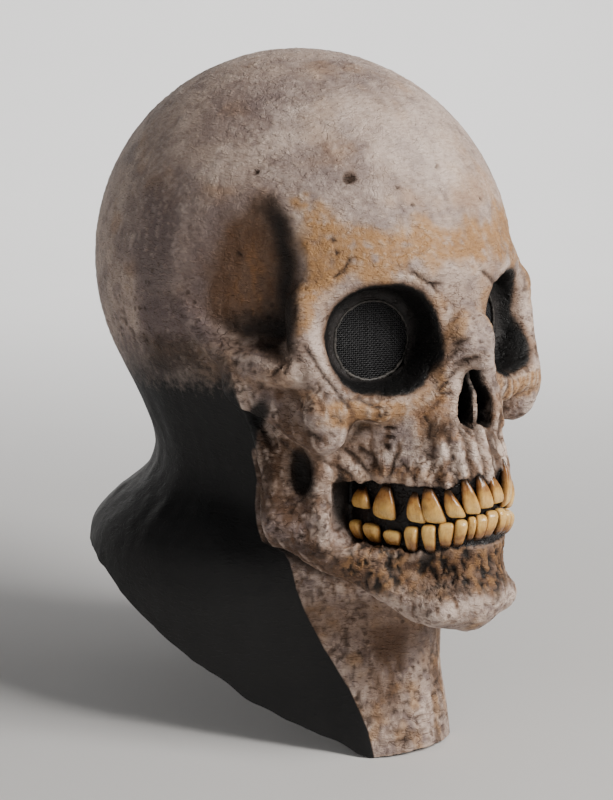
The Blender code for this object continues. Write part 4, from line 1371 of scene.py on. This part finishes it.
def gum_spot(angle):
    """The place on the gum wall at an angle along the arch, and its outward direction."""
    half_width, depth, front = GUM_ARCH
    t = math.radians(angle)
    spot = np.array((-half_width * math.sin(t), front + depth * (1 - math.cos(t)), 0.0))
    outward = np.array((-math.sin(t) / half_width, -math.cos(t) / depth, 0.0))
    return spot, outward / np.linalg.norm(outward)


def make_tooth(row, look, random):
    """A worn tooth: broad flat edge, narrow root that sinks into the gum, faint upright ridges."""
    name, edge_angle, edge_z, root_angle, root_z, width = row
    upper = "_upper_" in name
    table = np.asarray(UPPER_OUTLINE if upper else LOWER_OUTLINE)
    sides, rings = 32, 28
    heights = np.interp(np.linspace(0, 1, rings), (0, 0.15, 1), (table[0, 0], 0.05, table[-1, 0]))
    twist, worn, phase = random.normal(0, 0.08), random.normal(0, 0.045), random.uniform(0, 6.28)
    count = random.uniform(2.6, 4.0)
    points, shades = [], []
    for height in heights:
        wide, deep = (float(np.interp(height, table[:, 0], table[:, k])) for k in (1, 2))
        spot, outward = gum_spot(edge_angle + (root_angle - edge_angle) * height)
        across = np.array((-outward[1], outward[0], 0.0))
        for i in range(sides):
            a = 2 * math.pi * i / sides
            c, s = math.cos(a), math.sin(a)
            u = math.copysign(abs(c) ** 0.72, c)
            w = math.copysign(abs(s) ** 0.72, s)
            ridge = math.cos(u * count + phase) * 0.035 * (s > 0)
            x = u * wide * width / 2
            y = (w * 0.5 + 0.5 + ridge) * deep * (TOOTH_DEPTH + 0.4) - 0.3 - 1.5 * height**3
            z = edge_z + (root_z - edge_z) * height
            z += (worn * x + 0.35 * abs(u) ** 4 * (1 if upper else -1)) * max(0.0, 1 - height * 3)
            x, y = x + twist * (y - 2) * 0.5, y - twist * x * 0.4
            point = spot + across * x + outward * (TOOTH_GAP + y)
            points.append((point[0], point[1], z))
            shades.append((height, s, u))
    faces = []
    for ring in range(rings - 1):
        for i in range(sides):
            j = (i + 1) % sides
            a, b = ring * sides, (ring + 1) * sides
            faces.append((a + j, a + i, b + i, b + j))
    for ring in (0, rings - 1):
        points.append(tuple(np.mean(points[ring * sides:(ring + 1) * sides], axis=0)))
        shades.append((heights[ring], 0.0, 0.0))
        for i in range(sides):
            faces.append((ring * sides + i, ring * sides + (i + 1) % sides, len(points) - 1))
    points, shades = np.asarray(points), np.asarray(shades)
    lumps = (rough_noise(points, (1.6, 1.6, 3.0), 51) - 0.5) * 0.5
    points = points + np.stack([lumps, lumps, lumps * 0.8], 1)
    mesh = mesh_of(name + "_worn", points, faces)
    stain = rough_noise(points, 3.2, 50) * 0.5 - 0.1
    base, edge = np.abs(shades[:, 0]), np.abs(shades[:, 2])
    colour = np.tile(TOOTH_GOLD, (len(points), 1)).astype(float)
    for tone, share in ((TOOTH_CREAM, smooth(0.70, 0.15, base + stain) * 0.75),
                        (TOOTH_BROWN, smooth(0.55, 0.98, base + stain) * 0.80),
                        (TOOTH_DARK, smooth(0.84, 1.00, base + stain * 0.3) * 0.9),
                        (TOOTH_BROWN, smooth(0.80, 1.0, edge) * 0.50),
                        # The back of each tooth, where it faces the gum inside the mouth, is darkened as
                        # painted shade.
                        (TOOTH_DARK, smooth(0.2, -0.4, shades[:, 1]) * 0.85)):
        colour += (np.asarray(tone) - colour) * share[:, None]
    put_colour(mesh, "paint", screen_to_linear(colour))
    finish_piece(mesh, name + "_worn", look, "tooth", name)


def make_teeth(look):
    random = np.random.default_rng(11)
    for row in TEETH_SHAPED:
        make_tooth(row, look, random)


def add_camera():
    azimuth, elevation = math.radians(CAMERA_AZIMUTH), math.radians(CAMERA_ELEVATION)
    back = Vector((math.sin(azimuth) * math.cos(elevation),
                   -math.cos(azimuth) * math.cos(elevation), math.sin(elevation)))
    data = bpy.data.cameras.new("camera")
    data.sensor_width = 36
    data.lens = FOCAL_PIXELS / PICTURE_SIZE[1] * 36
    data.clip_start, data.clip_end = 0.05, 30
    obj = linked("camera", data)
    obj.location = Vector(CAMERA_PLACE) / 1000
    obj.rotation_mode = "QUATERNION"
    obj.rotation_quaternion = back.to_track_quat("Z", "Y")
    bpy.context.scene.camera = obj


def add_light(name, place, aim, power, size, colour):
    data = bpy.data.lights.new(name, "AREA")
    data.energy, data.size, data.color = power, size, colour
    obj = linked(name, data)
    obj.location = place
    obj.rotation_mode = "QUATERNION"
    obj.rotation_quaternion = (Vector(place) - Vector(aim)).to_track_quat("Z", "Y")


def add_studio():
    """A pale round floor that curves up into a pale backdrop on all sides, and soft light."""
    made, node, surface_node, links = shader("studio_paper")
    place = node("ShaderNodeTexCoord").outputs["Object"]
    mist = grain(node, place, 4, 2)
    tone = blended(node, mist, (0.74, 0.73, 0.72, 1), (0.78, 0.77, 0.76, 1))
    links.new(tone, surface_node.inputs["Base Color"])
    surface_node.inputs["Roughness"].default_value = 0.85
    rows = [(0.0, 0.0)] + [(r, 0.0) for r in STUDIO_RINGS]
    for a in np.linspace(0.1, math.pi / 2, 16):
        rows.append((STUDIO_RINGS[-1] + STUDIO_CURVE * math.sin(a),
                     STUDIO_CURVE - STUDIO_CURVE * math.cos(a)))
    sides = 96
    points, faces = [(0.0, 0.0, FLOOR_Z)], []
    for r, rise in rows[1:]:
        for i in range(sides):
            a = 2 * math.pi * i / sides
            points.append((r * math.cos(a), r * math.sin(a), FLOOR_Z + rise))
    for i in range(sides):
        j = (i + 1) % sides
        faces.append((0, 1 + i, 1 + j))
        for k in range(len(rows) - 2):
            a, b = 1 + k * sides, 1 + (k + 1) * sides
            faces.append((a + i, b + i, b + j, a + j))
    mesh = bpy.data.meshes.new("floor")
    mesh.from_pydata(points, [], faces)
    mesh.shade_smooth()
    mesh.materials.append(made)
    linked("floor", mesh)
    world = bpy.data.worlds.new("studio")
    bpy.context.scene.world = world
    world.use_nodes = True
    world.node_tree.nodes["Background"].inputs["Color"].default_value = (0.92, 0.93, 0.95, 1)
    world.node_tree.nodes["Background"].inputs["Strength"].default_value = WORLD_STRENGTH
    for row in LIGHTS:
        add_light(*row)


add_camera()
add_studio()
skin = make_skin()
skin.data.materials.clear()
skin.data.materials.append(skin_material())
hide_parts("latex_skin")
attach(skin, "root")
tooth_look = tooth_material()
make_teeth(tooth_look)
mesh_look = dark_material("eye_mesh_thread", (0.006, 0.006, 0.007, 1), (0.022, 0.022, 0.024, 1), 0.5)
edge_look = dark_material("torn_latex", (0.014, 0.013, 0.012, 1), (0.085, 0.075, 0.066, 1), 0.55)
for side, mirror in (("right", -1), ("left", 1)):
    make_eye_mesh(side, mirror, mesh_look)
    make_torn_edge(side, mirror, edge_look)
